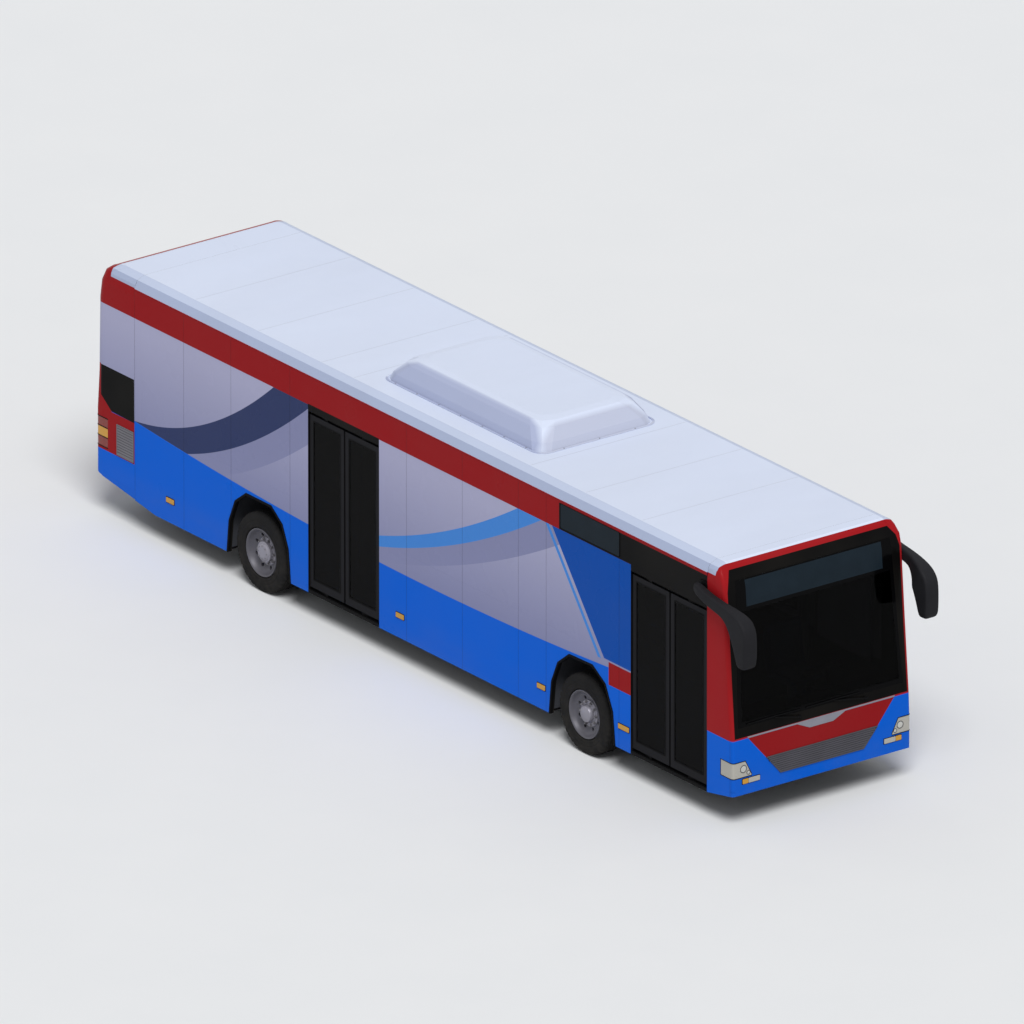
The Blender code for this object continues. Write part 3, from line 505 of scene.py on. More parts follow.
@dataclass(frozen=True)
class BrushedMetal(Finish):
    """Bright metal with fine brush lines along the bus and faint smears."""
    colour: Colour = (0.55, 0.55, 0.57, 1.0)
    rough: float = 0.28

    def write(self, recipe: Recipe) -> None:
        """Write the brush lines into the roughness and the relief.

        Args:
            recipe: The material to write.
        """
        brush = recipe.noise(220.0, 2.0, 0.5, (1.0, 8.0, 1.0))
        smear = recipe.span(recipe.noise(9.0, 4.0, 0.6), 0.3, 0.7)
        recipe.dress(Base_Color=recipe.mix(smear, shade(self.colour, 0.78), self.colour), Metallic=1.0,
                     Roughness=recipe.span(brush, 0.2, 0.8, self.rough - 0.06, self.rough + 0.1))
        recipe.bump(brush, 0.0002, 0.4)


@dataclass(frozen=True)
class Glass(Finish):
    """Tinted glass that lets a little light through, with a tint that varies faintly."""
    tint: Colour = (0.1, 0.1, 0.11, 1.0)
    rough: float = 0.02
    index: float = 1.12

    def write(self, recipe: Recipe) -> None:
        """Write the tint, the clearness and the gloss.

        Args:
            recipe: The material to write.
        """
        marks = recipe.span(recipe.noise(1.5, 3.0, 0.5, (1.0, 1.0, 0.35)), 0.3, 0.7)
        recipe.dress(Transmission_Weight=1.0, IOR=self.index, Roughness=self.rough,
                     Base_Color=recipe.mix(marks, self.tint, shade(self.tint, 0.85)))


@dataclass(frozen=True)
class Cloth(Finish):
    """Woven seat cloth: a crossed weave with small flecks of a second colour."""
    colour: Colour = (0.03, 0.07, 0.22, 1.0)
    fleck: Colour = (0.30, 0.36, 0.5, 1.0)
    threads: float = 1800.0

    def write(self, recipe: Recipe) -> None:
        """Write the two thread directions, the flecks and a soft sheen.

        Args:
            recipe: The material to write.
        """
        x, y, z = recipe.parts
        warp = recipe.math("SINE", recipe.times(y, self.threads))
        weft = recipe.math("SINE", recipe.times(recipe.plus(x, z), self.threads))
        weave = recipe.math("MULTIPLY_ADD", recipe.times(warp, weft), 0.5, 0.5)
        fleck = recipe.span(recipe.noise(55.0, 1.0, 0.4), 0.62, 0.68)
        worn = recipe.span(recipe.noise(6.0, 3.0, 0.5), 0.3, 0.7)
        base = recipe.mix(worn, self.colour, shade(self.colour, 1.3))
        recipe.dress(Base_Color=recipe.mix(fleck, base, self.fleck), Roughness=0.88, Sheen_Weight=0.35,
                     Sheen_Roughness=0.5)
        recipe.bump(weave, 0.0006, 0.7)


@dataclass(frozen=True)
class LampLens(Finish):
    """A moulded lamp lens with upright flutes under a clear gloss; the flutes also carry painted shade in
    their troughs.
    """
    colour: Colour = (0.4, 0.4, 0.38, 1.0)
    flute: float = 0.012

    def write(self, recipe: Recipe) -> None:
        """Write the flutes as relief and as a ripple of painted shade in the colour, darker in the troughs.

        Args:
            recipe: The material to write.
        """
        x, y, z = recipe.parts
        turn = 2 * math.pi / self.flute
        across, up = (recipe.wave(recipe.times(value, turn)) for value in (recipe.plus(y, x), z))
        cell = recipe.times(across, up)
        # Painted shade: the colour darkens in the flutes' troughs.
        recipe.dress(Base_Color=recipe.mix(cell, shade(self.colour, 0.88), self.colour), Roughness=0.16,
                     Coat_Weight=0.3, Coat_Roughness=0.05, Specular_IOR_Level=0.3)
        recipe.bump(cell, 0.0010, 0.6)


@dataclass(frozen=True)
class LampCells(LampLens):
    """A tail lamp's lens in three cells, one over another, the middle one amber."""
    middle: Colour = (0.6, 0.3, 0.02, 1.0)
    limits: Flat = (0.955, 1.075)

    def write(self, recipe: Recipe) -> None:
        """Write the lens, then colour its middle cell.

        Args:
            recipe: The material to write.
        """
        super().write(recipe)
        centre = recipe.region(recipe.within(recipe.parts[2], *self.limits))
        base = recipe.shader.inputs["Base Color"]
        recipe.feed(base, recipe.mix(centre, base.links[0].from_socket, self.middle))


@dataclass(frozen=True)
class Patch:
    """One straight-edged area of the livery, seen from the side, in one colour."""
    corners: tuple[Flat, ...]
    colour: Colour


@dataclass(frozen=True)
class Ribbon:
    """A sweeping band of the livery between two parabolas, height = a + b (x - c) squared."""
    low: Point
    high: Point
    span: Flat
    colour: Colour


@dataclass(frozen=True)
class Livery(Finish):
    """The painted coachwork: one pattern that runs on across every outer panel and film.

    film is true on the covered windows, which are a little smoother.
    """
    film: bool = False
    band_z: float = 2.59
    thin_line_z: float = 2.91
    top_z: float = 3.2
    band_x: float = 2.76
    door_top: float = 2.60
    field_low: float = 1.10
    field_bow: float = 0.0085
    apron_top: float = 1.05
    roof_z: float = 2.952
    roof_end: float = 5.669
    tail_end: float = 5.72
    mask: tuple[Flat, ...] = ((-1.211, 1.072), (1.211, 1.072), (1.206, 2.79), (1.174, 2.917),
                              (1.109, 3.011), (-1.109, 3.011), (-1.174, 2.917), (-1.206, 2.79))
    apron: tuple[Flat, ...] = ((-1.025, 1.049), (1.025, 1.049), (0.585, 0.534), (-0.585, 0.534))
    seams: tuple[float, ...] = (-5.255, -4.32, -3.42, -2.30, -0.10, 0.95, 2.00, 2.52, 3.88)
    ribbons: tuple[Ribbon, ...] = (
        Ribbon((0.80, 0.098, -5.60), (1.05, 0.112, -5.60), (REAR_CAP_X, -1.30), Tint.PALE_LOW),
        Ribbon((1.05, 0.112, -5.60), (1.32, 0.142, -5.60), (REAR_CAP_X, -1.85), Tint.SLATE),
        Ribbon((0.86, 0.048, -2.90), (1.00, 0.056, -2.90), (-1.953, 4.10), Tint.PALE_LOW),
        Ribbon((1.00, 0.056, -2.90), (1.10, 0.0625, -2.90), (-1.953, 4.10), Tint.LIGHT_BLUE),
    )
    patches: tuple[Patch, ...] = (
        Patch(((2.62, 2.60), (4.30, 2.60), (4.30, 1.30), (3.60, 1.30)), Tint.DEEP_BLUE),
        Patch(((2.50, 2.60), (2.56, 2.60), (3.545, 1.28), (3.485, 1.28)), Tint.LIGHT_BLUE),
        Patch(((3.685, 1.007), (4.10, 1.007), (4.10, 1.28), (3.685, 1.28)), Tint.RED),
    )
    tail_boxes: tuple[tuple[Flat, Flat], ...] = (
        ((-6.1, -5.265), (0.80, 1.305)), ((-6.1, -5.958), (0.80, 3.2)), ((-6.1, -5.902), (1.30, 1.84)))
    knee: tuple[Flat, ...] = ((-6.1, 1.30), (-5.69, 1.30), (-5.88, 1.47), (-6.1, 1.60))
    quarter: tuple[Flat, ...] = ((-5.902, 1.834), (-5.265, 1.835), (-5.265, 1.303), (-5.701, 1.31),
                                 (-5.902, 1.46))

    def shape(self, recipe: Recipe, colour: Socket, tint: Colour, corners: Sequence[Flat],
              extra: Sequence[Socket] = ()) -> Socket:
        """Paint one straight-edged shape, seen from the side, over a colour."""
        return recipe.mix(recipe.outline(recipe.folded, corners, Axis.Y, extra), colour, tint)

    def bow(self, recipe: Recipe, along: Socket, curve: Point) -> Socket:
        """The height of a parabola of the livery at each X."""
        away = recipe.minus(along, curve[2])
        return recipe.math("MULTIPLY_ADD", recipe.times(away, away), curve[1], curve[0])

    def side_colour(self, recipe: Recipe) -> Socket:
        """Colour the two long sides: blue skirt, pale field, ribbons, bands and patches.

        Args:
            recipe: The material to write.

        Returns:
            The colour.
        """
        x, _, z = recipe.parts
        field_colour = recipe.mix(recipe.span(z, 1.15, 2.45), Tint.PALE_LOW, Tint.PALE)
        skirt = recipe.minus(z, self.bow(recipe, x, (self.field_low, self.field_bow, 0.0)))
        colour = recipe.mix(recipe.region((skirt, *recipe.within(x, high=FRONT_DOORWAY[0]))), Tint.BLUE,
                            field_colour)
        for ribbon in self.ribbons:
            limits = (recipe.minus(z, self.bow(recipe, x, ribbon.low)),
                      recipe.minus(self.bow(recipe, x, ribbon.high), z),
                      *recipe.within(x, *ribbon.span), skirt)
            colour = recipe.mix(recipe.region(limits), colour, ribbon.colour)
        for patch in self.patches:
            colour = self.shape(recipe, colour, patch.colour, patch.corners)
        colour = self.shape(recipe, colour, Tint.RED, rounded((-6.1, FRONT_CAP_X), (self.band_z, self.top_z)))
        colour = self.shape(recipe, colour, Tint.BAND,
                            rounded((self.band_x, FRONT_CAP_X), (self.band_z, self.thin_line_z)))
        left = recipe.split[1]
        right = recipe.times(left, -1.0)
        for low, high in (FRONT_DOORWAY, MIDDLE_DOORWAY):
            opening = rounded((low - 0.004, high + 0.004), (0.2, self.door_top))
            colour = self.shape(recipe, colour, Tint.BAND, opening, (right,))
        window = rounded(FRONT_DOORWAY, (self.field_low, self.door_top))
        return self.shape(recipe, colour, Tint.BAND, window, (left,))

    def rear_colour(self, recipe: Recipe, colour: Socket) -> Socket:
        """Colour the tail: red frame, black quarter window and blue bumper.

        Args:
            recipe: The material to write.
            colour: The colour so far.

        Returns:
            The colour with the tail's laid over it.
        """
        for x, z in self.tail_boxes:
            colour = self.shape(recipe, colour, Tint.RED, rounded(x, z))
        colour = self.shape(recipe, colour, Tint.RED, self.knee)
        return self.shape(recipe, colour, Tint.BLACK, self.quarter)

    def front_colour(self, recipe: Recipe, colour: Socket) -> Socket:
        """Colour the nose: red corners, black mask, red apron and blue bumper; its red is a lighter copy of
        the side's red, as painted light, and its blue a darker copy, as painted shade against the nose's
        stronger light.

        Args:
            recipe: The material to write.
            colour: The colour so far.

        Returns:
            The colour with the nose's laid over it.
        """
        x, y, z = recipe.parts
        corners = recipe.region(recipe.within(x, FRONT_CAP_X) + recipe.within(z, self.apron_top))
        # Painted light: the nose's red is a lighter copy of the side's red.
        colour = recipe.mix(corners, colour, Tint.FRONT_RED)
        face = recipe.within(x, 5.60)
        turned = recipe.minus(recipe.plus(x, recipe.times(y, -1.3)), 4.30)
        bumper = recipe.region((turned, *recipe.within(z, high=self.apron_top)), 0.01)
        # Painted shade: the nose's blue is a darker copy of the side's blue.
        colour = recipe.mix(bumper, colour, Tint.FRONT_BLUE)
        colour = recipe.mix(recipe.outline(recipe.place, self.apron, Axis.X, face), colour, Tint.APRON)
        return recipe.mix(recipe.outline(recipe.place, self.mask, Axis.X, face), colour, Tint.BLACK)

    def roof_colour(self, recipe: Recipe, colour: Socket) -> Socket:
        """Colour what is over the eaves, short of the red rims at nose and tail.

        Args:
            recipe: The material to write.
            colour: The colour so far.

        Returns:
            The colour with the roof's laid over it.
        """
        limits = recipe.within(recipe.parts[2], self.roof_z)
        for plane in ((1.0, 0.0, 0.0, self.tail_end), (-1.0, 0.0, 0.0, self.roof_end),
                      (-0.587, -0.81, 0.0, 4.321)):
            limits.append(recipe.above(recipe.folded, plane))
        # The roof's white carries painted shade on the eave slopes.
        return recipe.mix(recipe.region(limits), colour, roof_white(recipe))

    def inner_colour(self, recipe: Recipe, colour: Socket) -> Socket:
        """Colour what points into the cabin and the arches: dark low down, cabin grey above.

        Args:
            recipe: The material to write.
            colour: The colour so far.

        Returns:
            The colour with the inside's laid over it.
        """
        x, y, z = recipe.parts
        lining = recipe.region(recipe.within(z, 1.30) + recipe.within(y, high=LINING_Y), 0.0005)
        cabin = recipe.mix(lining, Tint.BAND, Tint.CABIN)
        wall = recipe.within(y, high=SIDE_Y - 0.0008)
        wall += recipe.within(x, REAR_CAP_X - 0.002, FRONT_CAP_X + 0.002)
        colour = recipe.mix(recipe.region(wall, 0.0002), colour, cabin)
        side = recipe.within(y, high=LINING_Y)
        leaning = recipe.above(recipe.place, (-1.0, 0.0, -0.0844, 5.929 + 0.0844 * 1.06))
        screen = recipe.region([*side, leaning] + recipe.within(x, FRONT_CAP_X) + recipe.within(z, high=2.88))
        low = recipe.region(side + recipe.within(x, FRONT_CAP_X, 5.944) + recipe.within(z, 0.447, 1.06))
        tail = recipe.region(side + recipe.within(x, -5.953, REAR_CAP_X) + recipe.within(z, high=2.80))
        dark = recipe.math("MAXIMUM", recipe.math("MAXIMUM", screen, low), tail)
        return recipe.mix(dark, colour, Tint.BAND)

    def write(self, recipe: Recipe) -> None:
        """Lay the areas in order, then the seams, road dust and gloss.

        Args:
            recipe: The material to write.
        """
        x, y, z = recipe.parts
        colour = self.side_colour(recipe)
        for lay in (self.rear_colour, self.front_colour, self.roof_colour, self.inner_colour):
            colour = lay(recipe, colour)
        patch = recipe.span(recipe.noise(1.1, 3.0, 0.5), 0.3, 0.7, 0.0, 0.03)
        low = recipe.times(recipe.span(z, 0.30, 0.75, 1.0, 0.0),
                           recipe.span(recipe.noise(2.6, 4.0, 0.55, (0.35, 1.0, 1.0)), 0.35, 0.8, 0.0, 0.14))
        for share in (patch, low):
            colour = recipe.mix(share, colour, Tint.DUST)
        side_only = recipe.times(recipe.span(z, 2.91, 2.93, 1.0, 0.0), recipe.span(y, 1.2, 1.22))
        seam = recipe.times(recipe.lines(x, self.seams, 0.005), side_only)
        colour = recipe.mix(recipe.times(seam, 0.55), colour, Tint.BLACK)
        rough = recipe.span(recipe.noise(1.6, 3.0, 0.5), 0.3, 0.75, 0.20 if self.film else 0.26, 0.38)
        recipe.dress(Base_Color=colour, Roughness=rough, Coat_Weight=0.02, Coat_Roughness=0.08,
                     Specular_IOR_Level=0.035)
        recipe.bump(recipe.noise(160.0, 1.0, 0.4), 0.0001, 0.25)
        recipe.bump(seam, -0.002, 0.8)


def roof_white(recipe: Recipe, shown: Optional[Socket] = None) -> Socket:
    """Write the roof's white, with painted shade: a deeper tint on the two slopes of the eaves.

    Args:
        recipe: The material to write.
        shown: Where the slopes are, if not everywhere.

    Returns:
        The colour.
    """
    y = recipe.parts[1]
    colour: object = Tint.ROOF
    # Painted shade: each eave slope gets a deeper tint, as its facet turns from the lamp.
    for low, high, tint in ((1.10, 1.107, Tint.EAVE_TOP), (SIDE_Y - 0.046, SIDE_Y - 0.042, Tint.EAVE)):
        share = recipe.span(y, low, high)
        colour = recipe.mix(share if shown is None else recipe.times(share, shown), colour, tint)
    return colour


@dataclass(frozen=True)
class RoofPaint(Finish):
    """White roof paint with seams across, rain streaks and settled grey, and painted shade on the eave slopes
    and on the cooling unit's flanks.
    """
    seams: tuple[float, ...] = (-4.30, -3.10, -1.90, -1.30, 2.02, 3.05, 4.10)
    unit_lean: float = 0.55
    unit_base: float = 3.0855

    def unit_colour(self, recipe: Recipe, colour: Socket) -> Socket:
        """Colour the cooling unit's flanks with painted shade, a tint deeper than its top.

        Args:
            recipe: The material to write.
            colour: The colour so far.

        Returns:
            The colour with the flanks' laid over it.
        """
        x, y, z = recipe.parts
        rise = recipe.times(recipe.minus(z, self.unit_base), self.unit_lean)
        on_unit = recipe.span(z, self.unit_base + 0.0015, self.unit_base + 0.003)
        # Painted shade on the unit's flanks and on its front face.
        for along, edge, tint in ((y, 0.80, Tint.UNIT_SIDE), (x, 1.81, Tint.UNIT_FRONT)):
            out = recipe.span(recipe.plus(along, rise), edge - 0.03, edge + 0.012)
            colour = recipe.mix(recipe.times(out, on_unit), colour, tint)
        return colour

    def write(self, recipe: Recipe) -> None:
        """Write white paint that greys in patches and along the seams, with painted shade on the eave slopes
        and the unit's flanks.

        Args:
            recipe: The material to write.
        """
        x, y, z = recipe.parts
        grey = recipe.span(recipe.noise(0.9, 4.0, 0.55, (1.0, 0.4, 1.0)), 0.38, 0.8, 0.0, 0.06)
        white = self.unit_colour(recipe, roof_white(recipe, recipe.span(z, 3.093, 3.088, 0.0, 1.0)))
        seam = recipe.times(recipe.lines(x, self.seams, 0.008), recipe.span(y, 1.08, 1.10, 1.0, 0.0))
        colour = recipe.mix(recipe.times(seam, 0.22), recipe.mix(grey, white, Tint.DUST), Tint.DUST)
        rough = recipe.span(recipe.noise(4.0, 4.0, 0.6), 0.3, 0.7, 0.34, 0.5)
        recipe.dress(Base_Color=colour, Roughness=rough, Coat_Weight=0.03, Coat_Roughness=0.2,
                     Specular_IOR_Level=0.08)
        recipe.bump(recipe.noise(90.0, 1.0, 0.4), 0.0001, 0.3)
        recipe.bump(seam, 0.003, 0.7)


@dataclass(frozen=True)
class Flooring(Finish):
    """The low floor: speckled covering above, black underseal on its edges and underneath."""
    top: float = 0.33
    reach: float = 1.186
    end: float = 5.86

    def write(self, recipe: Recipe) -> None:
        """Write the covering, dark where the platform's edges and underside are.

        Args:
            recipe: The material to write.
        """
        x, y, z = recipe.parts
        speck = recipe.span(recipe.noise(500.0, 2.0, 0.6), 0.35, 0.7)
        cover = recipe.mix(speck, srgb(70, 72, 78), srgb(92, 94, 100))
        inside = recipe.region(recipe.within(z, self.top) + recipe.within(y, high=self.reach)
                               + recipe.within(x, high=self.end), 0.0005)
        recipe.dress(Base_Color=recipe.mix(inside, srgb(9, 9, 10), cover), Roughness=0.68,
                     Specular_IOR_Level=0.08)
        recipe.bump(speck, 0.0003, 0.4)


@dataclass(frozen=True)
class StudioFloor(Finish):
    """The pale studio floor."""
    light: Colour = (0.80, 0.81, 0.82, 1.0)
    lighter: Colour = (0.83, 0.835, 0.84, 1.0)

    def write(self, recipe: Recipe) -> None:
        """Write a matt pale floor with the faintest mottling."""
        tone = recipe.mix(recipe.noise(0.8, 3.0, 0.5), self.light, self.lighter)
        recipe.dress(Base_Color=tone, Roughness=0.85, Specular_IOR_Level=0.1)


class Wear:
    """Every finish of the bus, by the piece that wears it."""
    COACH = Livery("coachwork_paint")
    FILM = Livery("window_film", film=True)
    ROOF = RoofPaint("roof_paint")
    DARK_GLASS = Glass("tinted_glass", (0.018, 0.0185, 0.021, 1.0), 0.0)
    SCREEN = Glass("screen_glass", (0.06, 0.061, 0.067, 1.0), 0.0)
    BRIGHT = BrushedMetal("bright_rail")
    LAMP = LampLens("headlamp_lens", Tint.LAMP, 0.016)
    AMBER = LampLens("amber_lens", Tint.AMBER, 0.010)
    TAIL = LampLens("red_lens", Tint.TAIL, 0.012)
    TAIL_CELLS = LampCells("tail_lamp_lens", Tint.TAIL, 0.012, Tint.AMBER)
    FLOORING = Flooring("floor_covering")
    CLOTH = Cloth("seat_cloth")
    STUDIO = StudioFloor("studio_floor")
    # Each: name, colour, roughness, metal, gloss, clear coat, grain, its depth, variation, dust.
    BLACK_GLASS = Surface("black_glass", Tint.BLACK, 0.14, 0.0, 0.05, 0.0, 200.0, 0.00003, 0.1)
    DISPLAY = Surface("display_window", Tint.DISPLAY, 0.25, 0.0, 0.05, 0.0, 420.0, 0.0001, 0.12)
    TYRE = Surface("tyre_rubber", Tint.TYRE, 0.85, 0.0, 0.08, 0.0, 260.0, 0.0005, 0.18, 0.12)
    SEAL = Surface("seal_rubber", srgb(13, 13, 14), 0.7, 0.0, 0.06, 0.0, 320.0, 0.0004, 0.2)
    RIM = Surface("wheel_paint", Tint.RIM, 0.45, 0.2, 0.3, 0.0, 180.0, 0.0002, 0.10, 0.10)
    HUB = Surface("hub_metal", Tint.HUB, 0.42, 0.3, 0.4, 0.0, 160.0, 0.0002, 0.12, 0.08)
    NUT = Surface("nut_steel", srgb(130, 128, 132), 0.4, 0.6, 0.4, 0.0, 240.0, 0.0003, 0.2, 0.1)
    DOOR = Surface("door_frame_paint", Tint.DOOR, 0.45, 0.0, 0.05, 0.0, 240.0, 0.0001, 0.08)
    TRIM = Surface("black_trim", srgb(11, 11, 12), 0.5, 0.0, 0.05, 0.0, 300.0, 0.0002, 0.12)
    GRILLE = Surface("grille_plastic", Tint.GRILLE, 0.5, 0.0, 0.2, 0.0, 260.0, 0.0002, 0.08)
    # The grille sheets are painted shade: dark sheets put behind louvres where the openings would be.
    GRILLE_BACK = Surface("grille_shade", srgb(44, 43, 47), 0.6, 0.0, 0.12, 0.0, 260.0, 0.0002, 0.08)
    LOUVRE = Surface("louvre_metal", srgb(112, 111, 117), 0.5, 0.0, 0.2, 0.0, 260.0, 0.0002, 0.08)
    STRIP = Surface("silver_trim", Tint.STRIP, 0.35, 0.3, 0.4, 0.0, 260.0, 0.0001, 0.08)
    MIRROR = Surface("mirror_plastic", srgb(34, 34, 37), 0.55, 0.0, 0.06, 0.0, 420.0, 0.0002, 0.1)
    MIRROR_GLASS = Surface("mirror_glass", (0.75, 0.77, 0.78, 1.0), 0.05, 1.0, 0.5, 0.0, 30.0, 0.00002, 0.02)
    REFLECTOR = Surface("lamp_reflector", srgb(196, 196, 190), 0.2, 0.5, 0.5, 0.0, 200.0, 0.00005, 0.05)
    STEEL = Surface("frame_steel", srgb(50, 50, 52), 0.6, 0.2, 0.3, 0.0, 140.0, 0.0006, 0.25, 0.25)
    IRON = Surface("engine_iron", srgb(84, 82, 80), 0.65, 0.4, 0.3, 0.0, 120.0, 0.0008, 0.25, 0.25)
    PANEL = Surface("cabin_panel", Tint.CABIN, 0.55, 0.0, 0.25, 0.0, 360.0, 0.0002, 0.06)
    SHELL = Surface("seat_shell", srgb(58, 62, 74), 0.5, 0.0, 0.25, 0.0, 300.0, 0.0003, 0.1)
    PLATE = Surface("blank_plate", srgb(205, 205, 202), 0.4, 0.0, 0.2, 0.0, 200.0, 0.0001, 0.04)
    YELLOW = Surface("rail_yellow", srgb(226, 176, 32), 0.4, 0.0, 0.4, 0.3, 260.0, 0.0003, 0.08)


class Shape:
    """Collects the faces of one piece in bus coordinates and makes its object."""

    def __init__(self) -> None:
        """Start with nothing."""
        self.verts: list[Point] = []
        self.faces: list[tuple[int, ...]] = []

    def loft(self, loops: Sequence[Sequence[Point]], ring: bool = False) -> "Shape":
        """Join closed loops of equal count by a skin, with both ends filled unless it is a ring.

        Args:
            loops: The closed loops, in order.
            ring: Whether the last loop joins the first again.

        Returns:
            The shape itself.
        """
        start, count, rows = len(self.verts), len(loops[0]), len(loops)
        for loop in loops:
            self.verts.extend(tuple(p) for p in loop)
        for r in range(rows if ring else rows - 1):
            a, b = start + r * count, start + (r + 1) % rows * count
            for k in range(count):
                n = (k + 1) % count
                self.faces.append((a + k, a + n, b + n, b + k))
        if not ring:
            self.faces.append(tuple(start + k for k in reversed(range(count))))
            self.faces.append(tuple(start + (rows - 1) * count + k for k in range(count)))
        return self

    def prism(self, outline: Sequence[Flat], axis: Axis, low: float, high: float) -> "Shape":
        """Push a flat outline along an axis; its two numbers are the other coordinates in order."""
        return self.loft([[axis.put(a, b, c) for a, b in outline] for c in (low, high)])

    def rim(self, axis: Axis, *rows: tuple[Sequence[Flat], float]) -> "Shape":
        """Join flat outlines, each at its own place along an axis, into a closed frame."""
        return self.loft([[axis.put(a, b, c) for a, b in outline] for outline, c in rows], ring=True)

    def block(self, x: Flat, y: Flat, z: Flat, corner: float = 0.0, axis: Axis = Axis.Z) -> "Shape":
        """Add a box whose edges along one axis may be rounded.

        Args:
            x, y, z: Its spans.
            corner: The radius of the rounded edges.
            axis: The axis they run along.

        Returns:
            The shape itself.
        """
        spans = [x, y, z]
        low, high = spans.pop(axis.value)
        return self.prism(rounded(*spans, corner), axis, low, high)

    def tube(self, path: Sequence[Point], radius: object, sides: int = 12, ring: bool = False) -> "Shape":
        """Sweep a round section along a path.

        Args:
            path: The points of the centre line.
            radius: One radius, or one for each point.
            sides: Facets round the section.
            ring: Whether the path closes on itself.

        Returns:
            The shape itself.
        """
        points = [Vector(p) for p in path]
        count = len(points)
        radii = list(radius) if isinstance(radius, (list, tuple)) else [radius] * count
        loops, last = [], None
        for k, point in enumerate(points):
            before = points[k - 1] if k or ring else point
            after = points[(k + 1) % count] if k < count - 1 or ring else point
            along = (after - before).normalized()
            if last is None:
                last = along.orthogonal().normalized()
            last = (last - along * last.dot(along)).normalized()
            other = along.cross(last)
            loops.append([tuple(point + (last * c + other * s) * radii[k]) for c, s in turns(sides)])
        return self.loft(loops, ring=ring)

    def spin(self, profile: Sequence[Flat], centre: Point, steps: int = 64, side: float = 1.0,
             wave: Optional[Callable[[int, int], float]] = None) -> "Shape":
        """Turn a closed profile about a line along Y.

        Args:
            profile: Corners as (offset outward along Y, radius).
            centre: The centre of the turn.
            steps: Facets round the turn.
            side: The sign of Y that outward means.
            wave: Gives an extra radius for a step and a profile corner.

        Returns:
            The shape itself.
        """
        loops = []
        for step, (c, s) in enumerate(turns(steps)):
            loop = []
            for n, (out, radius) in enumerate(profile):
                reach = radius + (wave(step, n) if wave else 0.0)
                loop.append((centre[0] + reach * c, centre[1] + side * out, centre[2] + reach * s))
            loops.append(loop)
        return self.loft(loops, ring=True)

    def dial(self, centre: Point, profile: Sequence[Flat], steps: int = 40) -> "Shape":
        """Turn a closed profile of (offset forward, radius) about a line along X."""
        return self.loft([[(centre[0] + out, centre[1] + radius * c, centre[2] + radius * s)
                           for out, radius in profile] for c, s in turns(steps)], ring=True)

    def disc(self, centre: Point, radius: float, axis: Axis, low: float, high: float,
             sides: int = 24) -> "Shape":
        """Add a round slab about an axis.

        Args:
            centre: The point it is measured from.
            radius: Its radius.
            axis: The axis it turns about.
            low, high: Where it starts and ends beside the centre.
            sides: Facets round it.

        Returns:
            The shape itself.
        """
        flat = list(centre)
        middle = flat.pop(axis.value)
        outline = [(flat[0] + radius * c, flat[1] + radius * s) for c, s in turns(sides)]
        return self.prism(outline, axis, middle + low, middle + high)

    def frame(self, axis: Axis, outer: Sequence[Flat], inner: Sequence[Flat], base: float,
              face: float) -> "Shape":
        """Add a square-edged frame between two outlines, from its base to its face along an axis."""
        return self.rim(axis, (outer, base), (outer, face), (inner, face), (inner, base))

    def slat(self, axis: Axis, ends: Flat, face: float, deep: Flat, rise: Point) -> "Shape":
        """Add one louvre.

        Args:
            axis: The axis it runs along.
            ends: Where it starts and ends.
            face: The plane it stands on.
            deep: How far its foot and its lip stand off.
            rise: The heights of foot, lip and head.

        Returns:
            The shape itself.
        """
        foot, lip, head = rise
        outline = [(face, foot), (face + deep[0], foot), (face + deep[1], lip), (face, head)]
        return self.prism(outline, axis, *ends)

    def join(self, other: "Shape") -> "Shape":
        """Take another shape's faces over.

        Args:
            other: The other shape.

        Returns:
            The shape itself.
        """
        start = len(self.verts)
        self.verts.extend(other.verts)
        self.faces.extend(tuple(start + k for k in face) for face in other.faces)
        return self

    def build(self, name: str) -> Object:
        """Make the object, with its place in its mesh, clean normals and sharp edges kept.

        Args:
            name: The object's name.

        Returns:
            The object.
        """
        mesh = bpy.data.meshes.new(name)
        mesh.from_pydata([(x + NOSE_SHIFT, y, z) for x, y, z in self.verts], [], self.faces)
        made = bmesh.new()
        made.from_mesh(mesh)
        bmesh.ops.remove_doubles(made, verts=made.verts, dist=1e-6)
        bmesh.ops.recalc_face_normals(made, faces=made.faces)
        made.to_mesh(mesh)
        made.free()
        mesh.polygons.foreach_set("use_smooth", [True] * len(mesh.polygons))
        mesh.set_sharp_from_angle(angle=SMOOTH_ANGLE)
        thing = bpy.data.objects.new(name, mesh)
        bpy.context.scene.collection.objects.link(thing)
        return thing


def rounded(first: Flat, second: Flat, corner: float = 0.0, steps: int = 4) -> list[Flat]:
    """Draw a rectangle, with rounded corners if corner says so.

    Args:
        first, second: Its spans.
        corner: The radius of its corners.
        steps: Steps in each corner.

    Returns:
        The outline.
    """
    (a0, a1), (b0, b1) = first, second
    if corner <= 0:
        return [(a0, b0), (a1, b0), (a1, b1), (a0, b1)]
    points = []
    for ca, cb, start in ((a1 - corner, b0 + corner, -90), (a1 - corner, b1 - corner, 0),
                          (a0 + corner, b1 - corner, 90), (a0 + corner, b0 + corner, 180)):
        for k in range(steps + 1):
            t = math.radians(start + 90 * k / steps)
            points.append((ca + corner * math.cos(t), cb + corner * math.sin(t)))
    return points


def grown(first: Flat, second: Flat, by: float, corner: float = 0.0, steps: int = 4) -> list[Flat]:
    """The rounded rectangle that lies by farther out on every side."""
    return rounded((first[0] - by, first[1] + by), (second[0] - by, second[1] + by), corner, steps)


def soften(thing: Object, width: float) -> None:
    """Round a piece's sharp edges, which catch the light as real ones do.

    Args:
        thing: The piece.
        width: The width of the rounding.
    """
    bevel = thing.modifiers.new("edge", "BEVEL")
    bevel.width, bevel.segments = width, 2
    bevel.limit_method, bevel.angle_limit = "ANGLE", math.radians(32.0)
    bevel.harden_normals = False


def swell(thing: Object, name: str) -> None:
    """Smooth a piece once over."""
    smooth = thing.modifiers.new(name, "SUBSURF")
    smooth.levels = smooth.render_levels = 1


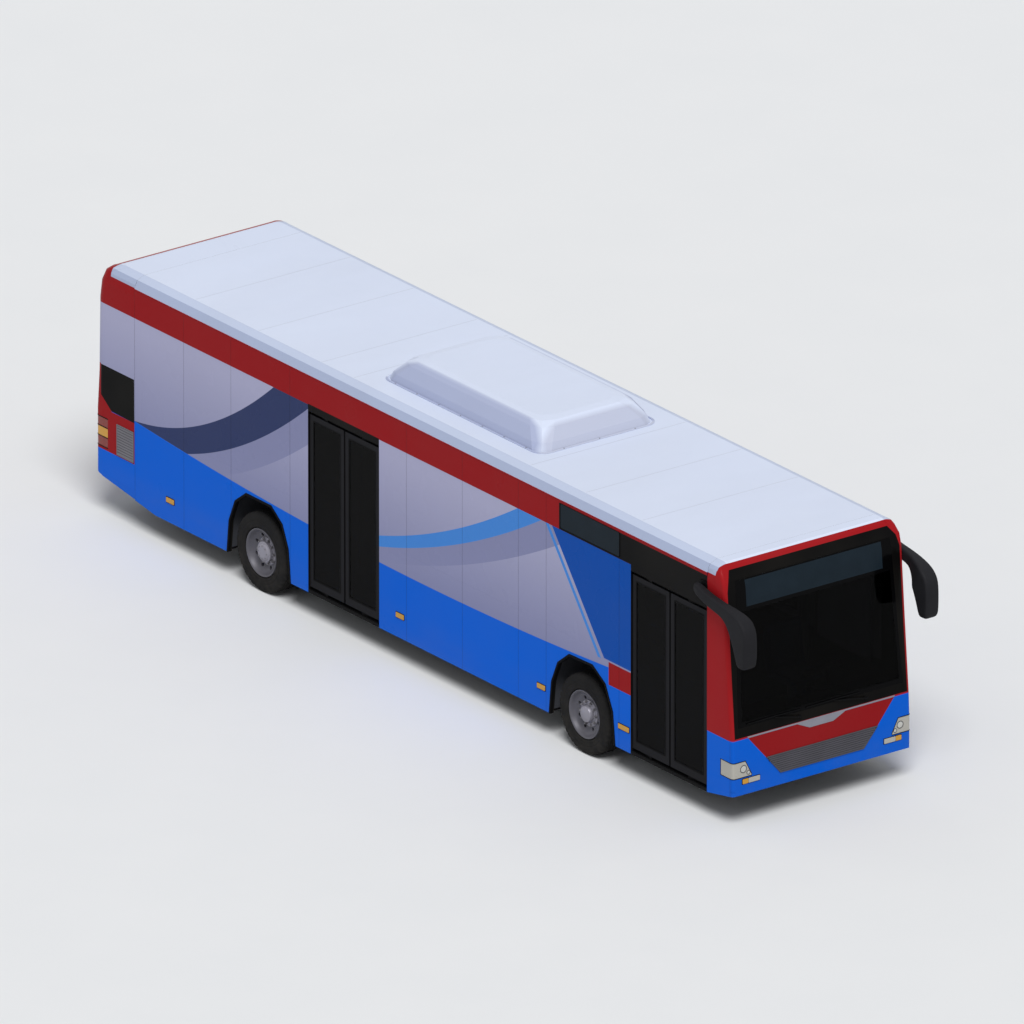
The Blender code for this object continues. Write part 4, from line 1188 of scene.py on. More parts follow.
@dataclass
class SubAssembly:
    """A group of pieces; each kind builds its meshes, then dresses the frame's own nodes."""
    made: list[str] = field(default_factory=list, init=False)

    def add(self, shape: Shape, name: str, finish: Finish, slot: str, edge: float = 0.0,
            body: str = "coachwork", stands_for: Sequence[str] = ()) -> Object:
        """Make a piece from a shape, dress it and let it ride on a body."""
        return self.place(shape.build(name), finish, slot, edge, body, stands_for)

    def place(self, thing: Object, finish: Finish, slot: str, edge: float = 0.0, body: str = "coachwork",
              stands_for: Sequence[str] = ()) -> Object:
        """Dress an object that is made already and let it ride on a body.

        Args:
            thing: The piece.
            finish: The finish it wears.
            slot: Not used; the record's material slot that it belongs to.
            edge: The width of its rounded edges, where it has any.
            body: The moving body it rides on.
            stands_for: The frame's nodes that it takes the place of.

        Returns:
            The piece.
        """
        if edge:
            soften(thing, edge)
        thing.data.materials.clear()
        thing.data.materials.append(finish.make())
        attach(thing, body)
        if stands_for:
            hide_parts(*stands_for)
        self.made.append(thing.name)
        return thing

    def paint(self, finish: Finish, *nodes: str) -> None:
        """Give the frame's own nodes a finish.

        Args:
            finish: The finish they wear.
            nodes: Their names.
        """
        for node in nodes:
            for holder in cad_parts[node].material_slots:
                holder.material = finish.make()
            self.made.append(node)

    def build(self) -> None:
        """Make the group's pieces."""

    def dress(self) -> None:
        """Give the frame's own nodes of the group their finish."""


@dataclass
class Coachwork(SubAssembly):
    """The painted body panels, the covered windows and what is fixed to the long sides."""
    marker_x: tuple[Flat, ...] = ((-4.58, 0.15), (-0.22, 0.15), (2.43, 0.15), (3.97, 0.20))
    marker_z: Flat = (0.545, 0.605)
    marker_rim: float = 0.008
    display_x: Flat = (2.79, 3.88)
    display_z: Flat = (2.615, 2.905)
    window_x: Flat = (4.24, 5.34)
    window_z: Flat = (1.18, 2.42)
    lip: float = 0.014
    front_arch: tuple[Flat, ...] = ((-0.592, 0.305), (-0.550, 0.70), (-0.436, 0.958), (-0.233, 1.117),
                                    (0.194, 1.129), (0.421, 0.984), (0.555, 0.70), (0.600, 0.305))
    rear_arch: tuple[Flat, ...] = ((-0.585, 0.305), (-0.545, 0.70), (-0.435, 0.96), (-0.235, 1.112),
                                   (0.235, 1.112), (0.435, 0.96), (0.545, 0.70), (0.585, 0.305))

    def build(self) -> None:
        """Make the side markers, arch lips, drip rails, side display and the driver's window trim."""
        for side in Side:
            self.build_markers(side)
            self.build_arch_lips(side)
            self.build_drip_rail(side)
        self.build_side_display()
        self.build_driver_window_trim()

    def build_markers(self, side: Side) -> None:
        """Make one side's amber markers on their dark bases.

        Args:
            side: The side of the bus.
        """
        lens, base = Shape(), Shape()
        rim, (low, high) = self.marker_rim, self.marker_z
        for x, length in self.marker_x:
            start, end = x - length / 2, x + length / 2
            base.block((start - rim, end + rim), side.span(SIDE_Y, SIDE_Y + 0.003),
                       (low - rim, high + rim), 0.012, Axis.Y)
            lens.block((start, end), side.span(SIDE_Y, SIDE_Y + 0.009), (low, high), 0.01, Axis.Y)
        self.add(base, f"marker_bases_{side.word}", Wear.SEAL, "rubber")
        self.add(lens, f"side_markers_{side.word}", Wear.AMBER, "lamp_red", 0.003)

    def build_arch_lips(self, side: Side) -> None:
        """Make the rubber lips that edge one side's wheel arches.

        Args:
            side: The side of the bus.
        """
        lips = Shape()
        # The section's corners: away from the arch's edge, and outward from the side.
        section = ((-0.004, -0.030), (-0.004, 0.005), (0.002, 0.007), (self.lip + 0.008, 0.007),
                   (self.lip + 0.012, 0.003), (self.lip + 0.012, 0.0005), (0.001, 0.0005), (0.0005, -0.030))
        for axle, arch in ((FRONT_AXLE_X, self.front_arch), (REAR_AXLE_X, self.rear_arch)):
            path = [Vector((axle + dx, 0.0, z)) for dx, z in arch]
            loops = []
            for k, point in enumerate(path):
                before, after = path[max(k - 1, 0)], path[min(k + 1, len(path) - 1)]
                along = (after - before).normalized()
                loops.append([(point.x - along.z * out, side.value * (SIDE_Y + proud),
                               point.z + along.x * out) for out, proud in section])
            lips.loft(loops)
        self.add(lips, f"arch_lips_{side.word}", Wear.SEAL, "rubber")

    def build_drip_rail(self, side: Side) -> None:
        """Make the slim drip rail under one roof edge.

        Args:
            side: The side of the bus.
        """
        y, z = side.value * (SIDE_Y + 0.001), EAVE_Z - 0.006
        rail = Shape().tube([(REAR_CAP_X, y, z), (FRONT_CAP_X, y, z)], 0.005, 8)
        self.add(rail, f"drip_rail_{side.word}", Wear.COACH, "paint_body")

    def build_side_display(self) -> None:
        """Make the blank route display over the kerb side's front windows."""
        x, z, face = self.display_x, self.display_z, -SIDE_Y
        pane = Shape().block(x, (face - 0.003, face), z, 0.02, Axis.Y)
        self.add(pane, "side_display", Wear.DISPLAY, "dark_glass", 0.001)
        outer = rounded((x[0] - 0.012, x[1] + 0.012), (z[0] - 0.010, z[1] + 0.006), 0.026)
        rim = Shape().frame(Axis.Y, outer, grown(x, z, 0.002, 0.02), face, face - 0.005)
        self.add(rim, "side_display_rim", Wear.SEAL, "rubber")

    def build_driver_window_trim(self) -> None:
        """Make the frame and the two slide rails of the driver's window."""
        (x0, x1), (z0, z1) = self.window_x, self.window_z
        outer = grown(self.window_x, self.window_z, 0.014, 0.03)
        inner = grown(self.window_x, self.window_z, -0.008, 0.022)
        trim = Shape().frame(Axis.Y, outer, inner, SIDE_Y, SIDE_Y + 0.005)
        middle, rail_y, rail_z = (x0 + x1) / 2, (SIDE_Y, SIDE_Y + 0.004), z1 - 0.30
        trim.block((middle - 0.014, middle + 0.014), rail_y, (z0, rail_z), 0.003)
        trim.block((x0, x1), rail_y, (rail_z - 0.025, rail_z), 0.003, Axis.X)
        self.add(trim, "driver_window_trim", Wear.SEAL, "rubber", 0.0015)

    def dress(self) -> None:
        """Paint the panels and films of the body."""
        self.paint(Wear.COACH, "side_wall_left", "side_wall_right")
        self.paint(Wear.FILM, "glazing_left_front", "glazing_left_rear", "glazing_right_front",
                   "glazing_right_rear")
        self.paint(Wear.DARK_GLASS, "driver_window")


@dataclass
class Corners(SubAssembly):
    """The crisp corner panels of nose and tail, laid over the softer corners of the solids.

    Each level is (height, distance behind the end, inset of the side), and where its corner isn't of
    the usual size also the corner's length and width.
    """
    front: tuple[tuple[float, ...], ...] = (
        (0.44, 0.0, 0.0), (0.76, 0.0, 0.0), (1.06, 0.0135, 0.0), (1.90, 0.087, 0.0), (2.79, 0.160, 0.0),
        (2.917, 0.190, 0.004), (3.005, 0.262, 0.018), (3.047, 0.292, 0.042), (3.0845, 0.345, 0.135))
    rear: tuple[tuple[float, ...], ...] = (
        (0.50, 0.0, 0.0), (0.80, 0.0, 0.0), (1.28, 0.0, 0.0), (1.75, 0.0, 0.0, 0.11, 0.08),
        (2.65, 0.020, 0.0, 0.11, 0.08), (2.86, 0.050, 0.004, 0.11, 0.08), (2.992, 0.115, 0.016, 0.11, 0.08),
        (3.047, 0.190, 0.042, 0.11, 0.08), (3.0845, 0.320, 0.135, 0.11, 0.08))
    lamp_front: Flat = (0.60, 0.79)
    lamp_rear: Flat = (0.834, 1.19)
    ramp: Flat = (-5.90, 0.4702)
    ramp_slopes: Flat = (0.160, 0.4655)
    chin: tuple[Flat, ...] = ((5.5115, 0.3045), (5.95, 0.384), (5.992, 0.390))
    chin_top: float = 0.4475
    chin_back: Flat = (5.955, 1.23)

    @staticmethod
    def bend(proud: float, face: float = END_X, half: float = SIDE_Y, size: Flat = CORNER_SIZE,
             steps: int = 6) -> list[Flat]:
        """The plan of one rounded corner, from the side to the end face.

        Args:
            proud: How far it stands off.
            face, half: The planes of the end and of the side.
            size: The corner's length and width.
            steps: Steps round it.

        Returns:
            Its points in X and Y.
        """
        turn = [math.pi / 2 * k / steps for k in range(steps + 1)]
        return [(face + proud - size[0] * (1 - math.sin(t)), half + proud - size[1] * (1 - math.cos(t)))
                for t in turn]

    def at(self, levels: Sequence[Sequence[float]], z: float) -> tuple[float, ...]:
        """Find a level at any height.

        Args:
            levels: The levels on both sides of it, and others.
            z: The height.

        Returns:
            The level with all its five values.
        """
        full = [(*level, *CORNER_SIZE)[:5] for level in levels]
        for low, high in zip(full, full[1:]):
            if z <= high[0]:
                share = (z - low[0]) / (high[0] - low[0])
                return tuple(a + (b - a) * share for a, b in zip(low, high))
        return full[-1]

    def loop(self, level: Sequence[float], end: float, side: Side) -> list[Point]:
        """Draw one level's closed plan: the crisp outer corner and its hidden back inside the wall.

        Args:
            level: The level.
            end: 1 at the nose, -1 at the tail.
            side: The side of the bus.

        Returns:
            The loop's points.
        """
        z, back, inset, length, width = level
        face, half = END_X - back, SIDE_Y - inset
        outer = [(face - 0.14, half + 0.0004), *self.bend(0.0006, face, half, (length, width)),
                 (face + 0.0004, half - 0.094)]
        inner = [(face - 0.012, half - 0.094), (face - 0.026, half - 0.048), (face - 0.065, half - 0.022),
                 (face - 0.14, half - 0.010)]
        return [(end * x, side.value * y, z) for x, y in outer + inner]

    def panel(self, shape: Shape, levels: Sequence[Sequence[float]], span: Flat, end: float,
              side: Side) -> None:
        """Add one corner's panel; at the tail its foot follows the rising underside.

        Args:
            shape: The shape to add to.
            levels: The corner's levels.
            span: The heights it runs between.
            end: 1 at the nose, -1 at the tail.
            side: The side of the bus.
        """
        low, high = span
        heights = [low, *[level[0] for level in levels if low < level[0] < high], high]
        loops = [self.loop(self.at(levels, z), end, side) for z in heights]
        if end < 0 and low == levels[0][0]:
            knee, foot = self.ramp
            loops[0] = [(x, y, foot - (x - knee) * self.ramp_slopes[x <= knee]) for x, y, _ in loops[0]]
        shape.loft(loops)

    def build(self) -> None:
        """Make the four corners, the lenses that turn round them, and the chin under the nose."""
        for side in Side:
            for name, levels, lamp, end, finish, slot in (
                    ("front", self.front, self.lamp_front, 1.0, Wear.LAMP, "lamp_clear"),
                    ("rear", self.rear, self.lamp_rear, -1.0, Wear.TAIL_CELLS, "lamp_red")):
                paint, lens = Shape(), Shape()
                self.panel(paint, levels, (levels[0][0], lamp[0]), end, side)
                self.panel(paint, levels, (lamp[1], levels[-1][0]), end, side)
                self.panel(lens, levels, lamp, end, side)
                self.add(paint, f"{name}_corner_{side.word}", Wear.COACH, "paint_body")
                self.add(lens, f"{name}_corner_lens_{side.word}", finish, slot)
        self.build_chin()

    def build_chin(self) -> None:
        """Make the lower edge of the bumper, which rises toward the front."""
        start, (back, half) = FRONT_CAP_X + 0.0015, self.chin_back
        right = [(start, SIDE_Y + 0.0004), *self.bend(0.0006)]
        plan = [*[(x, -y) for x, y in right], *reversed(right), (start, half), (back, half), (back, -half),
                (start, -half)]
        (x0, z0), (x1, z1), (x2, z2) = self.chin

        def low(x: float) -> float:
            """The height of the edge at each X."""
            return z0 + (z1 - z0) * (x - x0) / (x1 - x0) if x < x1 else z1 + (z2 - z1) * (x - x1) / (x2 - x1)

        chin = Shape().loft([[(x, y, low(x)) for x, y in plan], [(x, y, self.chin_top) for x, y in plan]])
        self.add(chin, "chin", Wear.COACH, "paint_body")


@dataclass
class Nose(SubAssembly):
    """The front: mask, windscreen, display, grille, lamps and wipers."""
    levels: tuple[Flat, ...] = ((0.38, 0.075), (0.444, 0.0), (0.76, 0.0), (1.06, 0.014), (1.90, 0.087),
                                (2.79, 0.160), (2.917, 0.190), (3.003, 0.262), (3.045, 0.292), (3.085, 0.345))
    border_z: tuple[float, ...] = (1.192, 1.90, 2.79, 2.898)
    border_width: float = 0.045
    display_half: float = 0.955
    display_z: tuple[float, ...] = (2.575, 2.79, 2.885)
    screen_low: float = 1.25
    screen_top: float = 2.53
    grille_z: Flat = (0.534, 0.768)
    grille_half: Flat = (0.585, 0.785)
    louvres: int = 8
    lamp_back: float = 5.767
    strip_y: Flat = (0.873, 1.115)
    strip_z: Flat = (0.520, 0.578)
    wipers: tuple[Flat, ...] = ((0.62, -0.28), (-0.30, -1.02))

    def face(self, z: float, proud: float = 0.0) -> float:
        """Find the front face at a height.

        Args:
            z: The height.
            proud: A small stand-off.

        Returns:
            Its X.
        """
        for (z0, b0), (z1, b1) in zip(self.levels, self.levels[1:]):
            if z <= z1:
                return END_X - b0 - (b1 - b0) * (z - z0) / (z1 - z0) + proud
        return END_X - self.levels[-1][1] + proud

    def sheet(self, half: Sequence[Flat], proud: float, thick: float) -> Shape:
        """Make a panel that follows the front face.

        Args:
            half: (height, half width) of each level, upward.
            proud: How far its outer face stands off.
            thick: Its thickness.

        Returns:
            The panel's shape.
        """
        loops = []
        for z, wide in half:
            x = self.face(z, proud)
            loops.append([(x - thick, -wide, z), (x, -wide, z), (x, wide, z), (x - thick, wide, z)])
        return Shape().loft(loops)

    def build(self) -> None:
        """Make everything that the front carries."""
        self.build_screen_borders()
        self.build_apron()
        self.build_grille()
        for side in Side:
            self.build_headlamp(side)
            self.build_low_strip(side)
        self.build_wipers()

    def border(self, z: float) -> Flat:
        """The inner and outer half width of the screen's border at a height."""
        outer = 1.1545 - (z - 1.19) * 0.0409
        return outer - self.border_width, outer

    def build_screen_borders(self) -> None:
        """Make the black border of the screen and the blank route display at its top."""
        border = Shape()
        for side in Side:
            loops = []
            for z in self.border_z:
                x = self.face(z, 0.0012)
                near, far = side.span(*self.border(z))
                loops.append([(x - 0.001, near, z), (x, near, z), (x, far, z), (x - 0.001, far, z)])
            border.loft(loops)
        for heights in ((self.border_z[0], self.screen_low), (self.screen_top, *self.border_z[2:])):
            border.join(self.sheet([(z, self.border(z)[0]) for z in heights], 0.0012, 0.001))
        self.add(border, "screen_border", Wear.BLACK_GLASS, "dark_glass")
        display = self.sheet([(z, self.display_half) for z in self.display_z], 0.0030, 0.0025)
        self.add(display, "front_display", Wear.DISPLAY, "dark_glass", 0.001)

    def build_apron(self) -> None:
        """Make the silver line under the mask and the bare plate in its middle."""
        line = self.sheet(((1.050, 1.028), (1.068, 1.036)), 0.004, 0.006)
        self.add(line, "silver_line", Wear.STRIP, "paint_front", 0.0015)
        plate = self.sheet(((0.971, 0.165), (1.0505, 0.34)), 0.0045, 0.006)
        self.add(plate, "centre_plate", Wear.STRIP, "paint_front", 0.002)

    def half_at(self, z: float) -> float:
        """The half width of the grille at a height."""
        (low, high), (foot, head) = self.grille_z, self.grille_half
        return foot + (head - foot) * (z - low) / (high - low)

    def build_grille(self) -> None:
        """Make the lower grille: a dark sheet of painted shade behind it, louvres and a frame round them."""
        (low, high), (foot, head) = self.grille_z, self.grille_half
        # A dark sheet of painted shade stands behind the louvres.
        back = self.sheet([(z, self.half_at(z) - 0.004) for z in (low + 0.004, 0.76, high - 0.004)], 0.0012,
                          0.001)
        self.add(back, "grille_back", Wear.GRILLE_BACK, "paint_front")
        bars = Shape()
        pitch = (high - low - 0.03) / self.louvres
        for n in range(self.louvres):
            z = low + 0.015 + pitch * (n + 0.5)
            half = self.half_at(z) - 0.012
            bars.slat(Axis.Y, (-half, half), self.face(z), (0.009, 0.006),
                      (z - pitch * 0.40, z + pitch * 0.30, z + pitch * 0.38))
        self.add(bars, "grille_louvres", Wear.GRILLE, "paint_front", 0.0015)
        loops = []
        for y, z, rise in ((-foot, low, 0.014), (foot, low, 0.014), (head, high, -0.014),
                           (-head, high, -0.014)):
            inner_y, inner_z = y - math.copysign(0.016, y), z + rise
            loops.append([(self.face(z), y, z), (self.face(z, 0.011), y, z),
                          (self.face(inner_z, 0.011), inner_y, inner_z),
                          (self.face(inner_z), inner_y, inner_z)])
        self.add(Shape().loft(loops, ring=True), "grille_frame", Wear.GRILLE, "paint_front", 0.002)

    def build_headlamp(self, side: Side) -> None:
        """Make one headlamp's dark bezel and the two round lights on its lens.

        Args:
            side: The side of the bus.
        """
        (top_in, top), (low_in, knee), low = (1.073, 0.79), (0.986, 0.622), 0.60
        bend = Corners.bend(0.0006)
        path = [(self.lamp_back, SIDE_Y, top), *[(x, y, top) for x, y in bend], (END_X, top_in, top),
                (END_X, low_in, knee), (END_X, low_in, low), *[(x, y, low) for x, y in reversed(bend)],
                (self.lamp_back, SIDE_Y, low)]
        bezel = Shape().tube([(x, side.value * y, z) for x, y, z in path], 0.0045, 8, ring=True)
        self.add(bezel, f"headlamp_bezel_{side.word}", Wear.TRIM, "paint_front")
        rings, lights = Shape(), Shape()
        for y, z, radius in ((1.100, 0.700, 0.046), (1.030, 0.645, 0.026)):
            spot = (END_X + 0.0005, side.value * y, z)
            rings.dial(spot, [(0.0, radius), (0.004, radius - 0.001), (0.004, radius - 0.006),
                              (0.0, radius - 0.007)])
            lights.dial(spot, [(0.0, 0.0005), (0.004, 0.001), (0.0035, radius * 0.4), (0.0015, radius * 0.8),
                               (0.0, radius - 0.008)])
        self.add(rings, f"headlamp_rings_{side.word}", Wear.GRILLE, "lamp_clear")
        self.add(lights, f"headlamp_lights_{side.word}", Wear.REFLECTOR, "lamp_clear")

    def build_low_strip(self, side: Side) -> None:
        """Make the slim fog lamp with its amber outer third and dark bezel.

        Args:
            side: The side of the bus.
        """
        y0, y1 = self.strip_y
        split = y1 - (y1 - y0) / 3.0
        for name, spread, grow, finish, slot, proud in (
                ("bezel", (y0 - 0.007, y1 + 0.007), 0.007, Wear.TRIM, "paint_front", 0.004),
                ("fog_lamp", (y0, split - 0.002), 0.0, Wear.LAMP, "lamp_clear", 0.010),
                ("indicator", (split + 0.002, y1), 0.0, Wear.AMBER, "lamp_red", 0.010)):
            part = Shape().block((END_X - 0.004, END_X + proud), side.span(*spread),
                                 (self.strip_z[0] - grow, self.strip_z[1] + grow), 0.008, Axis.X)
            self.add(part, f"{name}_{side.word}", finish, slot, 0.0025)

    def build_wipers(self) -> None:
        """Make the two wipers, parked low on the screen."""
        def spot(z: float, proud: float, y: float) -> Point:
            """A point before the screen."""
            return (self.face(z, proud), y, z)

        arms, blades = Shape(), Shape()
        low, high, reach = 1.135, 1.215, 0.38
        for pivot, tip in self.wipers:
            middle = (pivot + tip) / 2
            arms.tube([spot(low, 0.004, pivot), spot(low, 0.030, pivot)], [0.024, 0.016], 16)
            arms.tube([spot(low, 0.024, pivot), spot(1.165, 0.028, pivot - 0.12), spot(high, 0.022, middle)],
                      [0.011, 0.009, 0.005], 8)
            blades.tube([spot(1.222, 0.014, middle + reach), spot(1.225, 0.016, middle),
                         spot(1.222, 0.014, middle - reach)], [0.004, 0.007, 0.004], 6)
            blades.block((self.face(high, 0.002), self.face(high, 0.010)), (middle - reach, middle + reach),
                         (1.212, 1.220))
        self.add(arms, "wiper_arms", Wear.TRIM, "paint_front")
        self.add(blades, "wiper_blades", Wear.SEAL, "rubber")

    def dress(self) -> None:
        """Paint the mask and bumper and glaze the screen."""
        self.paint(Wear.COACH, "front_mask", "front_bumper")
        self.paint(Wear.LAMP, "headlamp_left", "headlamp_right")
        self.paint(Wear.SCREEN, "windscreen")


@dataclass
class Tail(SubAssembly):
    """The rear: frame, engine lid, grilles, lamps, bumper fittings and plate."""
    lamp_z: tuple[float, ...] = (0.834, 0.955, 1.075, 1.19)
    lamp_x: Flat = (-5.774, -5.993)
    lamp_y: float = 1.131
    grille_x: Flat = (-5.598, -5.278)
    grille_z: Flat = (0.815, 1.19)
    grille_bars: int = 11
    lid_grille_half: float = 0.76
    lid_grille_z: Flat = (0.895, 1.265)
    lid_bars: int = 10
    handle_z: float = 0.846
    high_lamp: Flat = (-5.957, 2.745)
    window_half: float = 0.98
    window_z: Flat = (1.92, 2.62)
    lean_from: float = 1.75
    lean: float = 0.0222

    def build(self) -> None:
        """Make the grilles, the lamps' bezels, the lid's fittings, the bumper's and the window rubber."""
        for side in Side:
            self.build_corner_grille(side)
            self.build_lamp_bezel(side)
        self.build_lid_grille()
        self.build_lid_fittings()
        self.build_high_lamps()
        self.build_bumper_fittings()
        self.build_window_rubber()

    def build_corner_grille(self, side: Side) -> None:
        """Make the louvred grille behind one rear corner.

        Args:
            side: The side of the bus.
        """
        (x0, x1), (z0, z1) = self.grille_x, self.grille_z
        sign, face = side.value, side.value * SIDE_Y
        # A dark sheet of painted shade stands behind the louvres.
        back = Shape().block((x0, x1), side.span(SIDE_Y, SIDE_Y + 0.0012), (z0, z1))
        self.add(back, f"corner_grille_back_{side.word}", Wear.GRILLE_BACK, "paint_body")
        bars = Shape()
        pitch = (z1 - z0 - 0.02) / self.grille_bars
        for n in range(self.grille_bars):
            z = z0 + 0.01 + pitch * n
            bars.slat(Axis.X, (x0 + 0.006, x1 - 0.006), face, (sign * 0.008, sign * 0.005),
                      (z + pitch * 0.08, z + pitch * 0.66, z + pitch * 0.84))
        bars.frame(Axis.Y, rounded((x0, x1), (z0, z1)), grown((x0, x1), (z0, z1), -0.010), face,
                   face + sign * 0.009)
        self.add(bars, f"corner_grille_{side.word}", Wear.LOUVRE, "paint_body", 0.001)

    def build_lamp_bezel(self, side: Side) -> None:
        """Make the dark bars between the three cells of one tail lamp.

        Args:
            side: The side of the bus.
        """
        bars = Shape()
        sign = side.value
        bend = [(-x, sign * y) for x, y in Corners.bend(0.003)]
        loop = [(self.lamp_x[0], sign * (SIDE_Y + 0.003)), *bend, (self.lamp_x[1], sign * self.lamp_y)]
        inner = [(x + 0.010, y - sign * 0.010) for x, y in reversed(loop)]
        for z in self.lamp_z:
            bars.prism(loop + inner, Axis.Z, z - 0.005, z + 0.005)
        self.add(bars, f"tail_lamp_bars_{side.word}", Wear.TRIM, "paint_body")

    def build_lid_grille(self) -> None:
        """Make the lid's louvred panel, with a dark sheet of painted shade behind its louvres."""
        face, half, (z0, z1) = -END_X, self.lid_grille_half, self.lid_grille_z
        pitch = (z1 - z0 - 0.03) / self.lid_bars
        bars = Shape()
        for n in range(self.lid_bars):
            z = z0 + 0.015 + pitch * n
            bars.slat(Axis.Y, (-half + 0.01, half - 0.01), face, (-0.010, -0.006),
                      (z + pitch * 0.1, z + pitch * 0.62, z + pitch * 0.80))
        bars.frame(Axis.X, rounded((-half, half), (z0, z1)), grown((-half, half), (z0, z1), -0.014), face,
                   face - 0.012)
        # A dark sheet of painted shade stands behind the louvres.
        back = Shape().block((face - 0.0015, face), (-half, half), (z0, z1))
        self.add(back, "lid_grille_back", Wear.GRILLE_BACK, "paint_body", 0.0, "engine_lid")
        self.add(bars, "lid_grille", Wear.GRILLE, "paint_body", 0.0015, "engine_lid")

    def build_lid_fittings(self) -> None:
        """Make the lid's handle, its plate holder, its bare plate, the plate's lamps and the latches."""
        face, lid = -END_X, "engine_lid"
        half_handle = [(face + 0.004, 0.09), (face - 0.022, 0.085), (face - 0.026, 0.07)]
        grip = [(x, -y, self.handle_z) for x, y in half_handle] + \
               [(x, y, self.handle_z) for x, y in reversed(half_handle)]
        self.add(Shape().tube(grip, 0.008, 10), "lid_handle", Wear.TRIM, "paint_body", 0.0, lid)
        holder = Shape().block((face - 0.006, face), (-0.275, 0.275), (1.375, 1.50), 0.008, Axis.X)
        plate = Shape().block((face - 0.009, face - 0.005), (-0.26, 0.26), (1.3825, 1.4925), 0.008, Axis.X)
        self.add(holder, "plate_holder", Wear.TRIM, "paint_body", 0.0015, lid)
        self.add(plate, "blank_rear_plate", Wear.PLATE, "paint_body", 0.001, lid)
        lamps = Shape()
        for y in (-0.12, 0.12):
            lamps.block((face - 0.030, face), (y - 0.03, y + 0.03), (1.512, 1.535), 0.006, Axis.Y)
        self.add(lamps, "plate_lamps", Wear.TRIM, "paint_body", 0.002, lid)
        latches = Shape()
        for y in (-0.84, 0.84):
            latches.disc((face, y, 0.90), 0.020, Axis.X, -0.004, 0.0, 20)
            latches.block((face - 0.007, face - 0.003), (y - 0.014, y + 0.014), (0.897, 0.903))
        self.add(latches, "lid_latches", Wear.NUT, "paint_body", 0.001, lid)

    def build_high_lamps(self) -> None:
        """Make the round lamps high on each rear corner and the middle stop lamp."""
        x, z = self.high_lamp
        for name, y, finish in (("amber", 1.06, Wear.AMBER), ("red", 0.93, Wear.TAIL)):
            lamps, rims = Shape(), Shape()
            for side in Side:
                lamps.disc((x, side.value * y, z), 0.040, Axis.X, -0.014, 0.006, 32)
                rims.disc((x, side.value * y, z), 0.050, Axis.X, -0.006, 0.006, 32)
            self.add(rims, f"high_{name}_lamp_bases", Wear.TRIM, "paint_body", 0.002)
            self.add(lamps, f"high_{name}_lamps", finish, "lamp_red", 0.005)
        stop = Shape().block((-5.985, -5.955), (-0.16, 0.16), (2.685, 2.715), 0.008, Axis.X)
        self.add(stop, "middle_stop_lamp", Wear.TAIL, "lamp_red", 0.004)

    def build_bumper_fittings(self) -> None:
        """Make the rear reflectors and the rubbing strip on the bumper."""
        reflectors = Shape()
        for side in Side:
            reflectors.block((-END_X - 0.008, -END_X), side.span(0.82, 1.02), (0.60, 0.655), 0.010, Axis.X)
        self.add(reflectors, "rear_reflectors", Wear.TAIL, "lamp_red", 0.003)
        strip = Shape().block((-END_X - 0.010, -END_X), (-0.72, 0.72), (0.53, 0.555), 0.006, Axis.X)
        self.add(strip, "bumper_strip", Wear.SEAL, "rubber", 0.003)

    def build_window_rubber(self) -> None:
        """Make the rubber round the rear window, on the leaning face."""
        span = (-self.window_half, self.window_half)
        outer, inner = grown(span, self.window_z, 0.016, 0.05), grown(span, self.window_z, -0.014, 0.04)
        rows = ((outer, 0.0), (outer, -0.006), (inner, -0.006), (inner, 0.0))
        rubber = Shape().loft([[(-END_X + max(0.0, z - self.lean_from) * self.lean + proud, y, z)
                                for y, z in outline] for outline, proud in rows], ring=True)
        self.add(rubber, "rear_window_rubber", Wear.SEAL, "rubber", 0.0015)

    def dress(self) -> None:
        """Paint the tail's panels and finish its lamps and glass."""
        self.paint(Wear.COACH, "rear_frame", "rear_bumper", "engine_lid")
        self.paint(Wear.TAIL_CELLS, "tail_lamp_left", "tail_lamp_right")
        self.paint(Wear.DARK_GLASS, "rear_window")


@dataclass
class Roof(SubAssembly):
    """The roof skin and the cooling unit on it."""
    unit_x: Flat = (-1.11, 1.84)
    unit_half: float = 0.82
    base_z: float = 3.085
    side_bolts: int = 7

    def build(self) -> None:
        """Make the unit's foot flange and its bolts."""
        (x0, x1), half, z = self.unit_x, self.unit_half, self.base_z
        outer = grown((x0, x1), (-half, half), 0.03, 0.17, 6)
        inner = grown((x0, x1), (-half, half), 0.004, 0.15, 6)
        foot = Shape().rim(Axis.Z, (outer, z), (outer, z + 0.008), (inner, z + 0.012), (inner, z))
        self.add(foot, "roof_unit_foot", Wear.ROOF, "paint_roof", 0.002)
        bolts = Shape()
        pitch = (x1 - x0 - 0.5) / (self.side_bolts - 1)
        spots = [(x0 + 0.25 + pitch * k, side.value * (half + 0.016)) for k in range(self.side_bolts)
                 for side in Side]
        spots += [(x, y) for x in (x0 - 0.016, x1 + 0.016) for y in (-0.5, 0.0, 0.5)]
        for x, y in spots:
            bolts.disc((x, y, z + 0.008), 0.009, Axis.Z, 0.0, 0.005, 6)
        self.add(bolts, "roof_unit_bolts", Wear.NUT, "paint_roof", 0.0008)

    def dress(self) -> None:
        """Paint the roof and the unit."""
        self.paint(Wear.ROOF, "roof_shell", "roof_unit")


